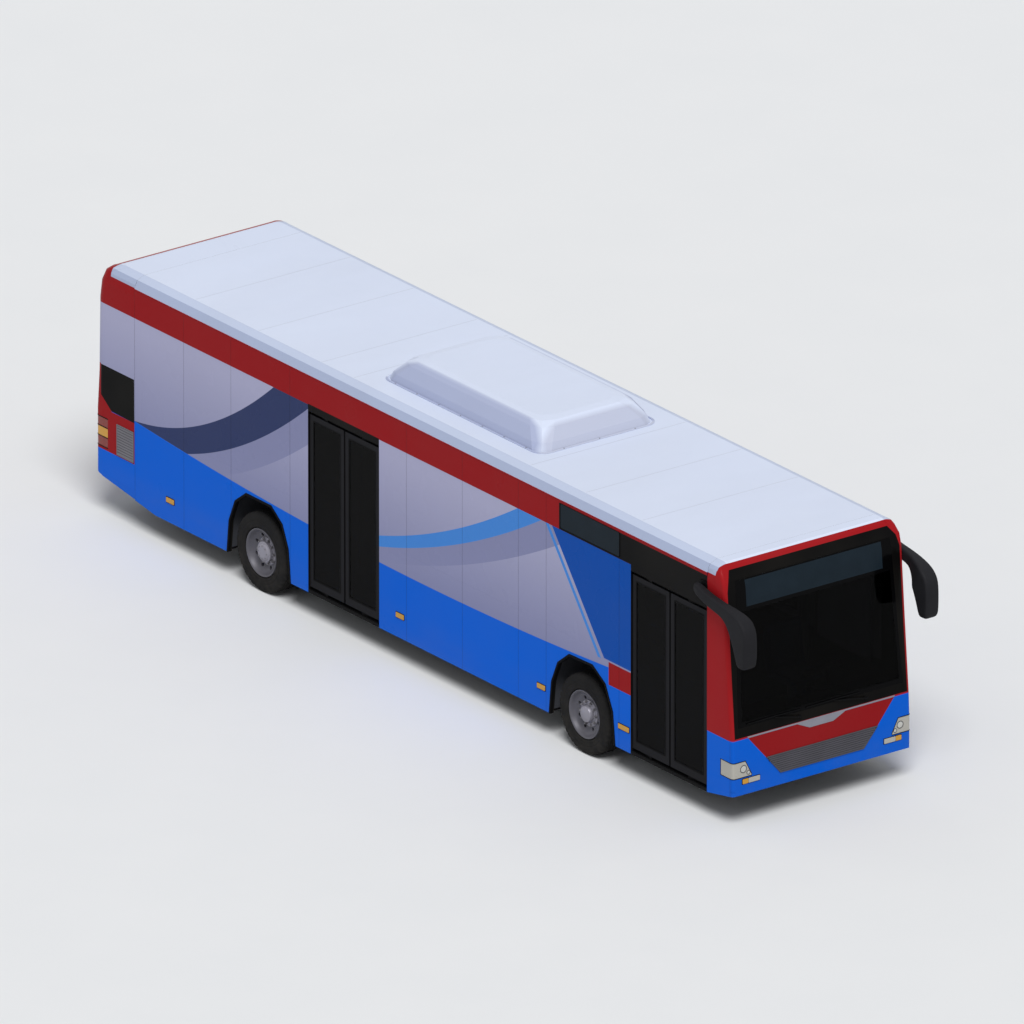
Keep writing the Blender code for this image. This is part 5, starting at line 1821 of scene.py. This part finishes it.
@dataclass
class Wheels(SubAssembly):
    """Tyres with a cut tread and wheels with hand holes, nuts and hub caps."""
    width: float = 0.275
    outer_y: float = 1.0925
    inner_y: float = 0.7625
    rim: float = 0.29
    rim_half: float = 0.1055
    bead: float = 0.2906
    steps: int = 160
    grooves: tuple[float, ...] = (-0.078, -0.028, 0.028, 0.078)
    nuts: int = 10

    @cached_property
    def section(self) -> list[Flat]:
        """The tyre's section, from the outer bead round to the inner one.

        Returns:
            Its corners as (offset, radius).
        """
        r, w, b = AXLE_Z, self.width / 2, self.bead
        half = [(w - 0.030, b), (w - 0.006, b + 0.012), (w - 0.001, b + 0.030), (w - 0.004, b + 0.034),
                (w - 0.001, b + 0.060), (w, r - 0.110), (w - 0.003, r - 0.104), (w - 0.001, r - 0.098),
                (w, r - 0.070), (w - 0.005, r - 0.045), (w - 0.010, r - 0.024), (w - 0.020, r - 0.009),
                (w - 0.036, r - 0.002), (w - 0.045, r)]
        tread = []
        for g in reversed(self.grooves):
            tread += [(g + 0.006, r), (g + 0.004, r - 0.013), (g - 0.004, r - 0.013), (g - 0.006, r)]
        return half + tread + [(-out, radius) for out, radius in reversed(half)]

    @property
    def rim_lip(self) -> list[Flat]:
        """The outer edge of every wheel's section, down to its disc.

        Returns:
            Its corners as (offset, radius).
        """
        w, r = self.rim_half, self.rim
        return [(w - 0.004, r), (w + 0.004, r), (w + 0.022, r - 0.006), (w + 0.024, r - 0.014),
                (w + 0.018, r - 0.022), (w + 0.002, r - 0.030), (w - 0.020, r - 0.040),
                (w - 0.034, r - 0.052)]

    def tread_wave(self, step: int, corner: int) -> float:
        """Cut the shoulders across and the middle ribs with sipes.

        Args:
            step: The step round the tyre.
            corner: The corner of its section.

        Returns:
            The extra radius.
        """
        out, radius = self.section[corner]
        if radius < AXLE_Z - 0.025:
            return 0.0
        if abs(out) > 0.085 and radius > AXLE_Z - 0.03:
            return -0.010 if step % 4 == 0 else 0.0
        return -0.005 if step % 2 == 0 and radius > AXLE_Z - 0.001 and abs(out) < 0.075 else 0.0

    def build(self) -> None:
        """Make six tyres and four wheels, each on its own turning body."""
        for side in Side:
            for node, x, y in (("front", FRONT_AXLE_X, self.outer_y),
                               ("rear_outer", REAR_AXLE_X, self.outer_y),
                               ("rear_inner", REAR_AXLE_X, self.inner_y)):
                self.build_tyre(f"{node}_tyre_{side.word}", (x, side.value * y, AXLE_Z),
                                f"{node.split('_')[0]}_wheel_{side.word}")
            self.build_front_wheel(side)
            self.build_rear_wheel(side)

    def build_tyre(self, node: str, centre: Point, body: str) -> None:
        """Make one tyre in place of its frame node."""
        shape = Shape().spin(self.section, centre, self.steps, 1.0, self.tread_wave)
        self.add(shape, f"{node}_tread", Wear.TYRE, "rubber", 0.0, body, (node,))

    def build_disc(self, end: str, centre: Point, side: Side, profile: Sequence[Flat], holes: Flat) -> None:
        """Make one wheel's rim and disc and cut eight round hand holes through it.

        Args:
            end: The axle, front or rear.
            centre: The wheel's centre.
            side: The side of the bus.
            profile: The section as (offset, radius).
            holes: The radius of the holes' circle and of each hole.
        """
        x, y, z = centre
        ring, size = holes
        disc = Shape().spin(profile, centre, 96, side.value).build(f"{end}_wheel_disc_{side.word}")
        cutter = Shape()
        for c, s in turns(8, 0.5):
            cutter.disc((x + ring * c, y, z + ring * s), size, Axis.Y, -0.16, 0.16, 20)
        tool = cutter.build("hand_hole_cutter")
        cut = disc.modifiers.new("holes", "BOOLEAN")
        cut.operation, cut.solver, cut.object = "DIFFERENCE", "EXACT", tool
        applied = bpy.data.meshes.new_from_object(disc.evaluated_get(bpy.context.evaluated_depsgraph_get()))
        disc.modifiers.clear()
        disc.data = applied
        bpy.data.objects.remove(tool)
        applied.set_sharp_from_angle(angle=SMOOTH_ANGLE)
        wheel = f"{end}_wheel_{side.word}"
        self.place(disc, Wear.RIM, "wheel_metal", 0.002, wheel, (wheel,))

    def add_turned(self, name: str, centre: Point, side: Side, profile: Sequence[Flat], body: str,
                   edge: float = 0.0) -> None:
        """Make one bright turned piece of a hub."""
        self.add(Shape().spin(profile, centre, 72, side.value), name, Wear.HUB, "wheel_metal", edge, body)

    def add_nuts(self, name: str, centre: Point, ring: float, side: Side, reach: float, body: str) -> None:
        """Make a ring of six-sided wheel nuts on round washers.

        Args:
            name: The piece's name.
            centre: The middle of the ring.
            ring: The ring's radius.
            side: The side of the bus.
            reach: How far the nuts stand out.
            body: The wheel they ride on.
        """
        nuts = Shape()
        for c, s in turns(self.nuts):
            spot = (centre[0] + ring * c, centre[1], centre[2] + ring * s)
            for radius, low, high, sides in ((0.019, 0.0, 0.004, 16), (0.0145, 0.003, reach, 6),
                                             (0.009, reach, reach + 0.010, 10)):
                nuts.disc(spot, radius, Axis.Y, *side.span(low, high), sides)
        self.add(nuts, name, Wear.NUT, "wheel_metal", 0.001, body)

    def build_front_wheel(self, side: Side) -> None:
        """Make one front wheel: rim, domed disc with hand holes, hub cap and nuts.

        Args:
            side: The side of the bus.
        """
        centre, word = (FRONT_AXLE_X, side.value * self.outer_y, AXLE_Z), side.word
        w, r, body = self.rim_half, self.rim, f"front_wheel_{word}"
        profile = [(0.020, 0.0005), (0.020, r - 0.055), (-w, r - 0.025), (-w, r), *self.rim_lip,
                   (0.066, r - 0.060), (0.060, 0.205), (0.052, 0.165), (0.050, 0.1205), (0.050, 0.0005)]
        self.build_disc("front", centre, side, profile, (0.187, 0.021))
        flange = [(0.049, 0.100), (0.049, 0.158), (0.058, 0.156), (0.061, 0.150), (0.061, 0.118),
                  (0.066, 0.112)]
        self.add_turned(f"front_hub_flange_{word}", centre, side, flange, body, 0.0015)
        seat = (centre[0], centre[1] + side.value * 0.061, AXLE_Z)
        self.add_nuts(f"front_wheel_nuts_{word}", seat, 0.137, side, 0.020, body)
        cap = [(0.049, 0.0005), (0.049, 0.112), (0.058, 0.110), (0.064, 0.102), (0.108, 0.094),
               (0.114, 0.090), (0.116, 0.078), (0.122, 0.062), (0.127, 0.040), (0.128, 0.0005)]
        self.add_turned(f"front_hub_cap_{word}", centre, side, cap, body)

    def build_rear_wheel(self, side: Side) -> None:
        """Make one twin rear wheel: two rims on a dished disc, hub and nuts.

        Args:
            side: The side of the bus.
        """
        centre, word = (REAR_AXLE_X, side.value * self.outer_y, AXLE_Z), side.word
        w, r, body = self.rim_half, self.rim, f"rear_wheel_{word}"
        twin = self.outer_y - self.inner_y
        profile = [(0.020, 0.0005), (0.020, r - 0.055), (-w - 0.012, r - 0.025), (-twin - w, r - 0.025),
                   (-twin - w, r), (-twin + w, r), (-twin / 2, r - 0.008), (-w, r), *self.rim_lip,
                   (0.062, r - 0.060), (0.052, 0.215), (0.040, 0.178), (0.036, 0.150), (0.036, 0.0005)]
        self.build_disc("rear", centre, side, profile, (0.197, 0.022))
        hub = [(0.035, 0.0005), (0.035, 0.165), (0.044, 0.163), (0.047, 0.156), (0.047, 0.134),
               (0.052, 0.128), (0.086, 0.124), (0.092, 0.118), (0.094, 0.106), (0.104, 0.098),
               (0.110, 0.090), (0.112, 0.060), (0.112, 0.0005)]
        self.add_turned(f"rear_hub_{word}", centre, side, hub, body)
        seat = (centre[0], centre[1] + side.value * 0.047, AXLE_Z)
        self.add_nuts(f"rear_wheel_nuts_{word}", seat, 0.146, side, 0.018, body)
        bolts = Shape()
        for c, s in turns(8):
            spot = (centre[0] + 0.078 * c, centre[1] + side.value * 0.1115, AXLE_Z + 0.078 * s)
            bolts.disc(spot, 0.008, Axis.Y, *side.span(0.0, 0.006), 6)
        self.add(bolts, f"rear_hub_bolts_{word}", Wear.NUT, "wheel_metal", 0.0008, body)


@dataclass
class Doors(SubAssembly):
    """The two double doors: leaf frames, panes, rubber edges, pillars and step edges."""
    openings: tuple[tuple[str, float, float], ...] = (("front_door", *FRONT_DOORWAY),
                                                      ("middle_door", *MIDDLE_DOORWAY))
    leaf_y: float = -1.2175
    thick: float = 0.035
    low: float = 0.38
    high: float = 2.475
    jamb: float = 0.012
    gap: float = 0.030
    frame_width: float = 0.07
    ribs: int = 5

    def leaves(self) -> Iterable[tuple[str, float, float, float]]:
        """List the leaves.

        Returns:
            Each leaf's name, its lowest and highest X, and the sign toward its meeting edge.
        """
        for door, start, end in self.openings:
            middle = (start + end) / 2
            yield f"{door}_rear", start + self.jamb, middle - self.gap / 2, 1.0
            yield f"{door}_front", middle + self.gap / 2, end - self.jamb, -1.0

    def build(self) -> None:
        """Make what each leaf carries and the trims of the openings."""
        for leaf, x0, x1, toward in self.leaves():
            self.build_edge(leaf, x1 if toward > 0 else x0, toward)
            self.build_pane_rubber(leaf, x0, x1)
        for door, start, end in self.openings:
            self.build_threshold(door, start, end)

    def build_edge(self, leaf: str, edge: float, toward: float) -> None:
        """Make the finger-safe rubber on a leaf's meeting edge.

        Args:
            leaf: The leaf's name.
            edge: The X of its edge.
            toward: The sign of X away from the leaf.
        """
        half = ((0.0, 0.013), (0.005, 0.011), (0.007, 0.004))
        outline = [(edge + toward * out, self.leaf_y - deep) for out, deep in half] + \
                  [(edge + toward * out, self.leaf_y + deep) for out, deep in reversed(half)]
        rubber = Shape().prism(outline, Axis.Z, self.low + 0.02, self.high - 0.02)
        self.add(rubber, f"{leaf}_edge_rubber", Wear.SEAL, "rubber", 0.001, f"{leaf}_leaf")

    def build_pane_rubber(self, leaf: str, x0: float, x1: float) -> None:
        """Make the rubber that holds a leaf's pane, with rounded corners.

        Args:
            leaf: The leaf's name.
            x0, x1: The leaf's edges.
        """
        x, z = (x0 + self.frame_width, x1 - self.frame_width), (self.low + 0.10, self.high - 0.07)
        outer, inner = grown(x, z, 0.008, 0.014), grown(x, z, -0.010, 0.009)
        face = self.leaf_y - self.thick / 2
        rim = Shape().rim(Axis.Y, (outer, face + 0.002), (outer, face - 0.0025), (inner, face - 0.001),
                          (inner, face + 0.006))
        self.add(rim, f"{leaf}_pane_rubber", Wear.SEAL, "rubber", 0.0, f"{leaf}_leaf")

    def build_threshold(self, door: str, start: float, end: float) -> None:
        """Make the ribbed step edge under a door and the black sill below it.

        Args:
            door: The door's name.
            start, end: The opening's edges in X.
        """
        step = Shape()
        for k in range(self.ribs):
            y = -1.229 + k * 0.012
            step.block((start + 0.05, end - 0.05), (y, y + 0.006), (FLOOR_Z + 0.0004, FLOOR_Z + 0.003))
        self.add(step, f"{door}_step_edge", Wear.TRIM, "floor_trim")
        sill = Shape().block((start + 0.0015, end - 0.0015), (-1.2492, -1.19), (0.3055, FLOOR_Z - 0.0005))
        self.add(sill, f"{door}_sill", Wear.TRIM, "floor_trim", 0.002)

    def dress(self) -> None:
        """Paint the leaves and pillars and glaze the panes."""
        for door, _, _ in self.openings:
            for end in ("front", "rear"):
                self.paint(Wear.DOOR, f"{door}_leaf_{end}")
                self.paint(Wear.DARK_GLASS, f"{door}_pane_{end}")
                self.paint(Wear.TRIM, f"{door}_pillar_{end}")


@dataclass
class Mirrors(SubAssembly):
    """The two hanging mirrors: curved arm, rounded head and the glass that faces back."""
    near: float = 1.2544
    head: Flat = (1.182, 1.369)
    upper: tuple[Flat, ...] = ((5.362, 2.828), (5.50, 2.782), (5.66, 2.740), (5.78, 2.728), (5.90, 2.712),
                               (6.03, 2.690), (6.15, 2.658), (6.235, 2.622), (6.30, 2.572), (6.338, 2.515),
                               (6.358, 2.440), (6.363, 2.30), (6.362, 2.150), (6.348, 2.085), (6.318, 2.040))
    lower: tuple[Flat, ...] = ((5.362, 2.702), (5.50, 2.655), (5.66, 2.603), (5.80, 2.578), (5.93, 2.552),
                               (6.00, 2.490), (6.05, 2.415), (6.070, 2.370), (6.090, 2.330), (6.106, 2.295),
                               (6.128, 2.245), (6.146, 2.200), (6.170, 2.130), (6.192, 2.075), (6.222, 2.040))
    glass_top: Point = (6.128, 0.0, 2.300)
    glass_foot: Point = (6.232, 0.0, 2.072)

    def build(self) -> None:
        """Make both mirrors."""
        for side in Side:
            self.build_shell(side)
            self.build_glass(side)
            foot = Shape().block((5.375, 5.52), side.span(SIDE_Y + 0.0002, SIDE_Y + 0.012),
                                 (2.690, 2.835), 0.030, Axis.Y)
            self.add(foot, f"mirror_foot_{side.word}", Wear.TRIM, "mirror_shell", 0.003)

    def section(self, top: Flat, low: Flat, wide: Flat, corner: float) -> list[Point]:
        """Draw one rounded cross-section of the arm or head between its two edge lines.

        Args:
            top, low: Its two ends in X and Z.
            wide: Its span in Y.
            corner: The radius of its corners.

        Returns:
            The loop's points.
        """
        a, b = Vector((top[0], 0.0, top[1])), Vector((low[0], 0.0, low[1]))
        length = (b - a).length
        down = (b - a).normalized()
        cut = min(corner, length * 0.42, (wide[1] - wide[0]) * 0.42)
        return [(a.x + down.x * s, y, a.z + down.z * s) for s, y in rounded((0.0, length), wide, cut, 5)]

    def build_shell(self, side: Side) -> None:
        """Make one mirror's arm and head in one piece, in place of its frame node.

        Args:
            side: The side of the bus.
        """
        loops = []
        last = len(self.upper) - 1
        for k, (top, low) in enumerate(zip(self.upper, self.lower)):
            grow = min(1.0, max(0.0, (k - 4) / 3))
            inner = self.near - grow * (self.near - self.head[0])
            taper = 0.010 if k in (0, last) else 0.0
            loops.append(self.section(top, low, side.span(inner + taper, self.head[1] - taper), 0.034))
        shell = self.add(Shape().loft(loops), f"mirror_shell_{side.word}", Wear.MIRROR, "mirror_shell",
                         stands_for=(f"mirror_{side.word}",))
        swell(shell, "round")

    def build_glass(self, side: Side) -> None:
        """Make the glass that faces back and its rim.

        Args:
            side: The side of the bus.
        """
        start, end = Vector(self.glass_top), Vector(self.glass_foot)
        along = (end - start).normalized()
        back = Vector((along.z, 0.0, -along.x))
        wide = side.span(self.head[0] + 0.022, self.head[1] - 0.022)
        for name, finish, grow, depth in (("rim", Wear.TRIM, 0.008, 0.004),
                                          ("glass", Wear.MIRROR_GLASS, 0.0, 0.007)):
            flat = grown((0.0, (end - start).length), wide, grow, 0.022, 5)
            loops = [[tuple(start + along * s + back * d + Vector((0, y, 0))) for s, y in flat]
                     for d in (-0.004, depth)]
            self.add(Shape().loft(loops), f"mirror_{name}_{side.word}", finish, "mirror_shell", 0.001)


@dataclass
class Cabin(SubAssembly):
    """The inside: padded seats, rails with hanging grips, the driver's place and the floor."""
    rows: tuple[float, ...] = (0.15, 0.95, 1.75)
    seat_y: float = 0.93
    seat_width: float = 0.46
    bench_x: float = -5.05
    bench_pitch: float = 0.46
    bench_seats: int = 5
    platform_z: float = 1.10
    driver: Point = (4.48, 0.62, 0.565)
    driver_width: float = 0.48
    grips_x: tuple[float, ...] = (-3.0, -2.5, -1.7, -1.0, 0.1, 0.7, 1.9, 2.3, 3.1)
    grips_y: Flat = (-0.40, 0.40)
    rail_z: float = 1.98
    wheel: Point = (5.20, 0.62, 1.235)
    wheel_lean: Point = (-0.022, 0.0, 0.034)
    wheel_radius: float = 0.222
    cells: int = 14
    pull: float = 0.030

    def cushion(self, shape: Shape, origin: Point, along: Flat, start: Flat, wide: float, long: float,
                thick: float) -> None:
        """Add one crowned pad whose sides pull in between its corners, with a sewn edge and channels.

        Args:
            shape: The shape to add to.
            origin: The seat's own zero point, at floor level.
            along: The pad's length direction in X and Z.
            start: The middle of its first edge, in X and Z from the origin.
            wide: Its width along Y.
            long: Its length.
            thick: How far its crown stands off.
        """
        cells = self.cells
        ax, az = along
        front, back = [], []
        for i in range(cells + 1):
            for j in range(cells + 1):
                u, v = i / cells * 2 - 1, j / cells * 2 - 1
                s = (u * (1 - self.pull * (1 - u * u)) * 0.5 + 0.5) * long
                y = v * (1 - self.pull * (1 - v * v)) * wide / 2
                crown = max(0.0, (1 - u ** 6) * (1 - v ** 6)) ** 0.45
                channel = 0.0022 * sum(math.exp(-((v - seam) / 0.05) ** 2) for seam in (0.42, -0.42))
                swollen = 0.006 + thick * crown * (1 - 0.10 * (u * u + v * v)) - channel * crown
                for out, sheet in ((swollen, front), (-0.001, back)):
                    sheet.append((origin[0] + start[0] + ax * s - az * out, origin[1] + y,
                                  origin[2] + start[1] + az * s + ax * out))
        base, row, shift = len(shape.verts), cells + 1, len(front)
        shape.verts.extend(front + back)
        for i in range(cells):
            for j in range(cells):
                a = base + i * row + j
                shape.faces.append((a, a + 1, a + row + 1, a + row))
                shape.faces.append((a + shift, a + row + shift, a + row + 1 + shift, a + 1 + shift))
        rim = [i * row for i in range(cells)] + [cells * row + j for j in range(cells)] + \
              [i * row + cells for i in range(cells, 0, -1)] + list(range(cells, 0, -1))
        for a, b in zip(rim, rim[1:] + rim[:1]):
            shape.faces.append((base + a, base + b, base + b + shift, base + a + shift))

    def seat_pads(self, name: str, spots: Sequence[Point], width: float) -> None:
        """Make the seat and back pads of a group of seats.

        Args:
            name: The piece's name.
            spots: Each seat's zero point.
            width: Each seat's width.
        """
        pads = Shape()
        for spot in spots:
            self.cushion(pads, spot, unit(0.32, 0.025), (0.088, 0.4745), width - 0.05, 0.330, 0.030)
            self.cushion(pads, spot, unit(-0.065, 0.43), (0.040, 0.565), width - 0.06, 0.400, -0.026)
        thing = self.add(pads, name, Wear.CLOTH, "seat_shell")
        swell(thing, "stuffing")

    def build(self) -> None:
        """Make the pads, the rail grips, the steering wheel's rim and the dashboard's switches."""
        for side in Side:
            spots = [(x, side.value * self.seat_y, FLOOR_Z) for x in self.rows]
            self.seat_pads(f"seat_pads_{side.word}", spots, self.seat_width)
        bench = [(self.bench_x, (n - self.bench_seats // 2) * self.bench_pitch, self.platform_z)
                 for n in range(self.bench_seats)]
        self.seat_pads("bench_pads", bench, self.bench_pitch - 0.015)
        self.seat_pads("driver_pads", [self.driver], self.driver_width)
        self.build_grips()
        self.build_steering()

    def build_grips(self) -> None:
        """Make the hanging grips: a strap, a buckle and a three-sided handle."""
        straps, handles = Shape(), Shape()
        z = self.rail_z
        for x in self.grips_x:
            corners = [Vector((x, z - 0.130)), Vector((x + 0.052, z - 0.225)), Vector((x - 0.052, z - 0.225))]
            path = [a.lerp(b, share) for a, b in zip(corners, corners[1:] + corners[:1])
                    for share in (0.14, 0.5, 0.86)]
            for y in self.grips_y:
                straps.tube([(x, y + 0.0215 * c, z + 0.0215 * s) for c, s in turns(16)], 0.0035, 6, ring=True)
                straps.block((x - 0.011, x + 0.011), (y - 0.002, y + 0.002), (z - 0.135, z - 0.021), 0.001)
                handles.tube([(spot.x, y, spot.y) for spot in path], 0.007, 8, ring=True)
        self.add(straps, "grip_straps", Wear.TRIM, "floor_trim")
        self.add(handles, "grip_handles", Wear.YELLOW, "floor_trim")

    def build_steering(self) -> None:
        """Make the steering wheel's round rim, its hub and the dashboard's switches."""
        lean = Vector(self.wheel_lean).normalized()
        across = Vector((0.0, 1.0, 0.0))
        up = lean.cross(across).normalized()
        top = Vector(self.wheel) + lean * 0.020

        def circle(rise: float, radius: float, sides: int) -> list[Point]:
            """A circle over the wheel's plane."""
            return [tuple(top + lean * rise + (across * c + up * s) * radius) for c, s in turns(sides)]

        rim = Shape().tube(circle(0.0, self.wheel_radius, 48), 0.014, 10, ring=True)
        rim.loft([circle(rise, radius, 32)
                  for rise, radius in ((-0.008, 0.085), (0.012, 0.083), (0.022, 0.065), (0.026, 0.02))])
        self.add(rim, "steering_wheel_rim", Wear.TRIM, "floor_trim")
        switches = Shape()
        for k in range(7):
            y = 0.36 + k * 0.06
            switches.block((5.62, 5.645), (y, y + 0.034), (1.088, 1.112), 0.003)
        self.add(switches, "dash_switches", Wear.SEAL, "floor_trim", 0.001)

    def dress(self) -> None:
        """Finish the floor, the seats' shells, the rails and the driver's place."""
        self.paint(Wear.FLOORING, "floor_platform")
        self.paint(Wear.PANEL, "driver_partition")
        self.paint(Wear.TRIM, "driver_console")
        self.paint(Wear.SHELL, "seats_left", "seats_right", "rear_bench", "driver_seat")
        self.paint(Wear.BRIGHT, "handrails")


def unit(a: float, b: float) -> Flat:
    """The same direction with a length of one."""
    length = math.hypot(a, b)
    return a / length, b / length


@dataclass
class Underbody(SubAssembly):
    """What shows from below and through the arches."""

    def dress(self) -> None:
        """Finish the frame, axles, steering and engine."""
        self.paint(Wear.STEEL, "chassis_frame", "front_axle", "rear_axle", "knuckle_left", "knuckle_right",
                   "tie_rod")
        self.paint(Wear.IRON, "engine_block")


@dataclass
class Studio:
    """The plain floor, the soft lamp, the pale surround and the camera."""
    floor_marks: tuple[float, ...] = (-700.0, -40.0, -12.0, 12.0, 40.0, 700.0)
    azimuth: float = math.radians(53.132)
    elevation: float = math.radians(21.843)
    aim_right: float = 0.1289
    aim_up: float = 1.4923
    away: float = 495.0
    lens: float = 1541.26
    clip: Flat = (10.0, 1500.0)
    key: float = 2.3
    key_spread: float = math.radians(28.0)
    key_toward: Point = (-0.50, 0.30, -0.85)
    surround: float = 0.38
    lit: Colour = (0.95, 0.97, 1.0, 1.0)
    seen: Colour = (0.93, 0.94, 0.95, 1.0)

    def build(self) -> None:
        """Set the floor, lamp, world and camera."""
        self.build_floor()
        self.build_lamp()
        self.build_world()
        self.build_camera()
        bpy.context.scene.view_settings.view_transform = "Standard"

    def build_floor(self) -> None:
        """Make the floor, fine where the bus stands so that its mottling stays true."""
        grid = Shape()
        count = len(self.floor_marks)
        grid.verts = [(x, y, 0.0) for x in self.floor_marks for y in self.floor_marks]
        grid.faces = [(i * count + j, (i + 1) * count + j, (i + 1) * count + j + 1, i * count + j + 1)
                      for i in range(count - 1) for j in range(count - 1)]
        floor = grid.build("studio_floor")
        floor.data.materials.append(Wear.STUDIO.make())

    def build_lamp(self) -> None:
        """Light the front and the roof most with one broad lamp."""
        data = bpy.data.lights.new("key_lamp", "SUN")
        data.energy, data.angle = self.key, self.key_spread
        thing = bpy.data.objects.new("key_lamp", data)
        thing.rotation_mode = "QUATERNION"
        thing.rotation_quaternion = Vector(self.key_toward).to_track_quat("-Z", "Y")
        bpy.context.scene.collection.objects.link(thing)

    def build_world(self) -> None:
        """Make an even pale surround that shows white to the camera, gloss and glass."""
        world = bpy.data.worlds.new("surround")
        world.use_nodes = True
        bpy.context.scene.world = world
        tree = world.node_tree
        soft, end = (next(n for n in tree.nodes if n.type == kind) for kind in ("BACKGROUND", "OUTPUT_WORLD"))
        white, path, seen, both, mix = (tree.nodes.new("ShaderNode" + kind) for kind in (
            "Background", "LightPath", "Math", "Math", "MixShader"))
        seen.operation = both.operation = "MAXIMUM"
        for node, colour, strength in ((soft, self.lit, self.surround), (white, self.seen, 1.0)):
            node.inputs[0].default_value, node.inputs[1].default_value = colour, strength
        for source, target in (
                (path.outputs["Is Camera Ray"], seen.inputs[0]),
                (path.outputs["Is Glossy Ray"], both.inputs[0]),
                (path.outputs["Is Transmission Ray"], both.inputs[1]), (both.outputs[0], seen.inputs[1]),
                (seen.outputs[0], mix.inputs[0]), (soft.outputs[0], mix.inputs[1]),
                (white.outputs[0], mix.inputs[2]), (mix.outputs[0], end.inputs[0])):
            tree.links.new(source, target)

    def build_camera(self) -> None:
        """Put the camera far off with a very long lens, as the photograph shows no convergence."""
        data = bpy.data.cameras.new("camera")
        data.lens, data.sensor_width = self.lens, 36.0
        data.clip_start, data.clip_end = self.clip
        camera = bpy.data.objects.new("camera", data)
        turn = Matrix.Rotation(self.azimuth, 3, "Z") @ Matrix.Rotation(math.pi / 2 - self.elevation, 3, "X")
        right, up, back = turn.transposed()
        aim = right * self.aim_right + up * self.aim_up + Vector((NOSE_SHIFT, 0.0, 0.0))
        camera.location = aim + back * self.away
        camera.rotation_euler = turn.to_euler()
        bpy.context.scene.collection.objects.link(camera)
        bpy.context.scene.camera = camera


def main() -> None:
    """Build every sub-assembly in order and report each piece."""
    logging.basicConfig(level=logging.INFO, format="%(name)s: %(message)s")
    Studio().build()
    for kind in (Coachwork, Corners, Nose, Tail, Roof, Wheels, Doors, Mirrors, Cabin, Underbody):
        group = kind()
        group.build()
        group.dress()
        LOG.info("%s: %s", kind.__name__, ", ".join(group.made))


if __name__ == "__main__":
    main()
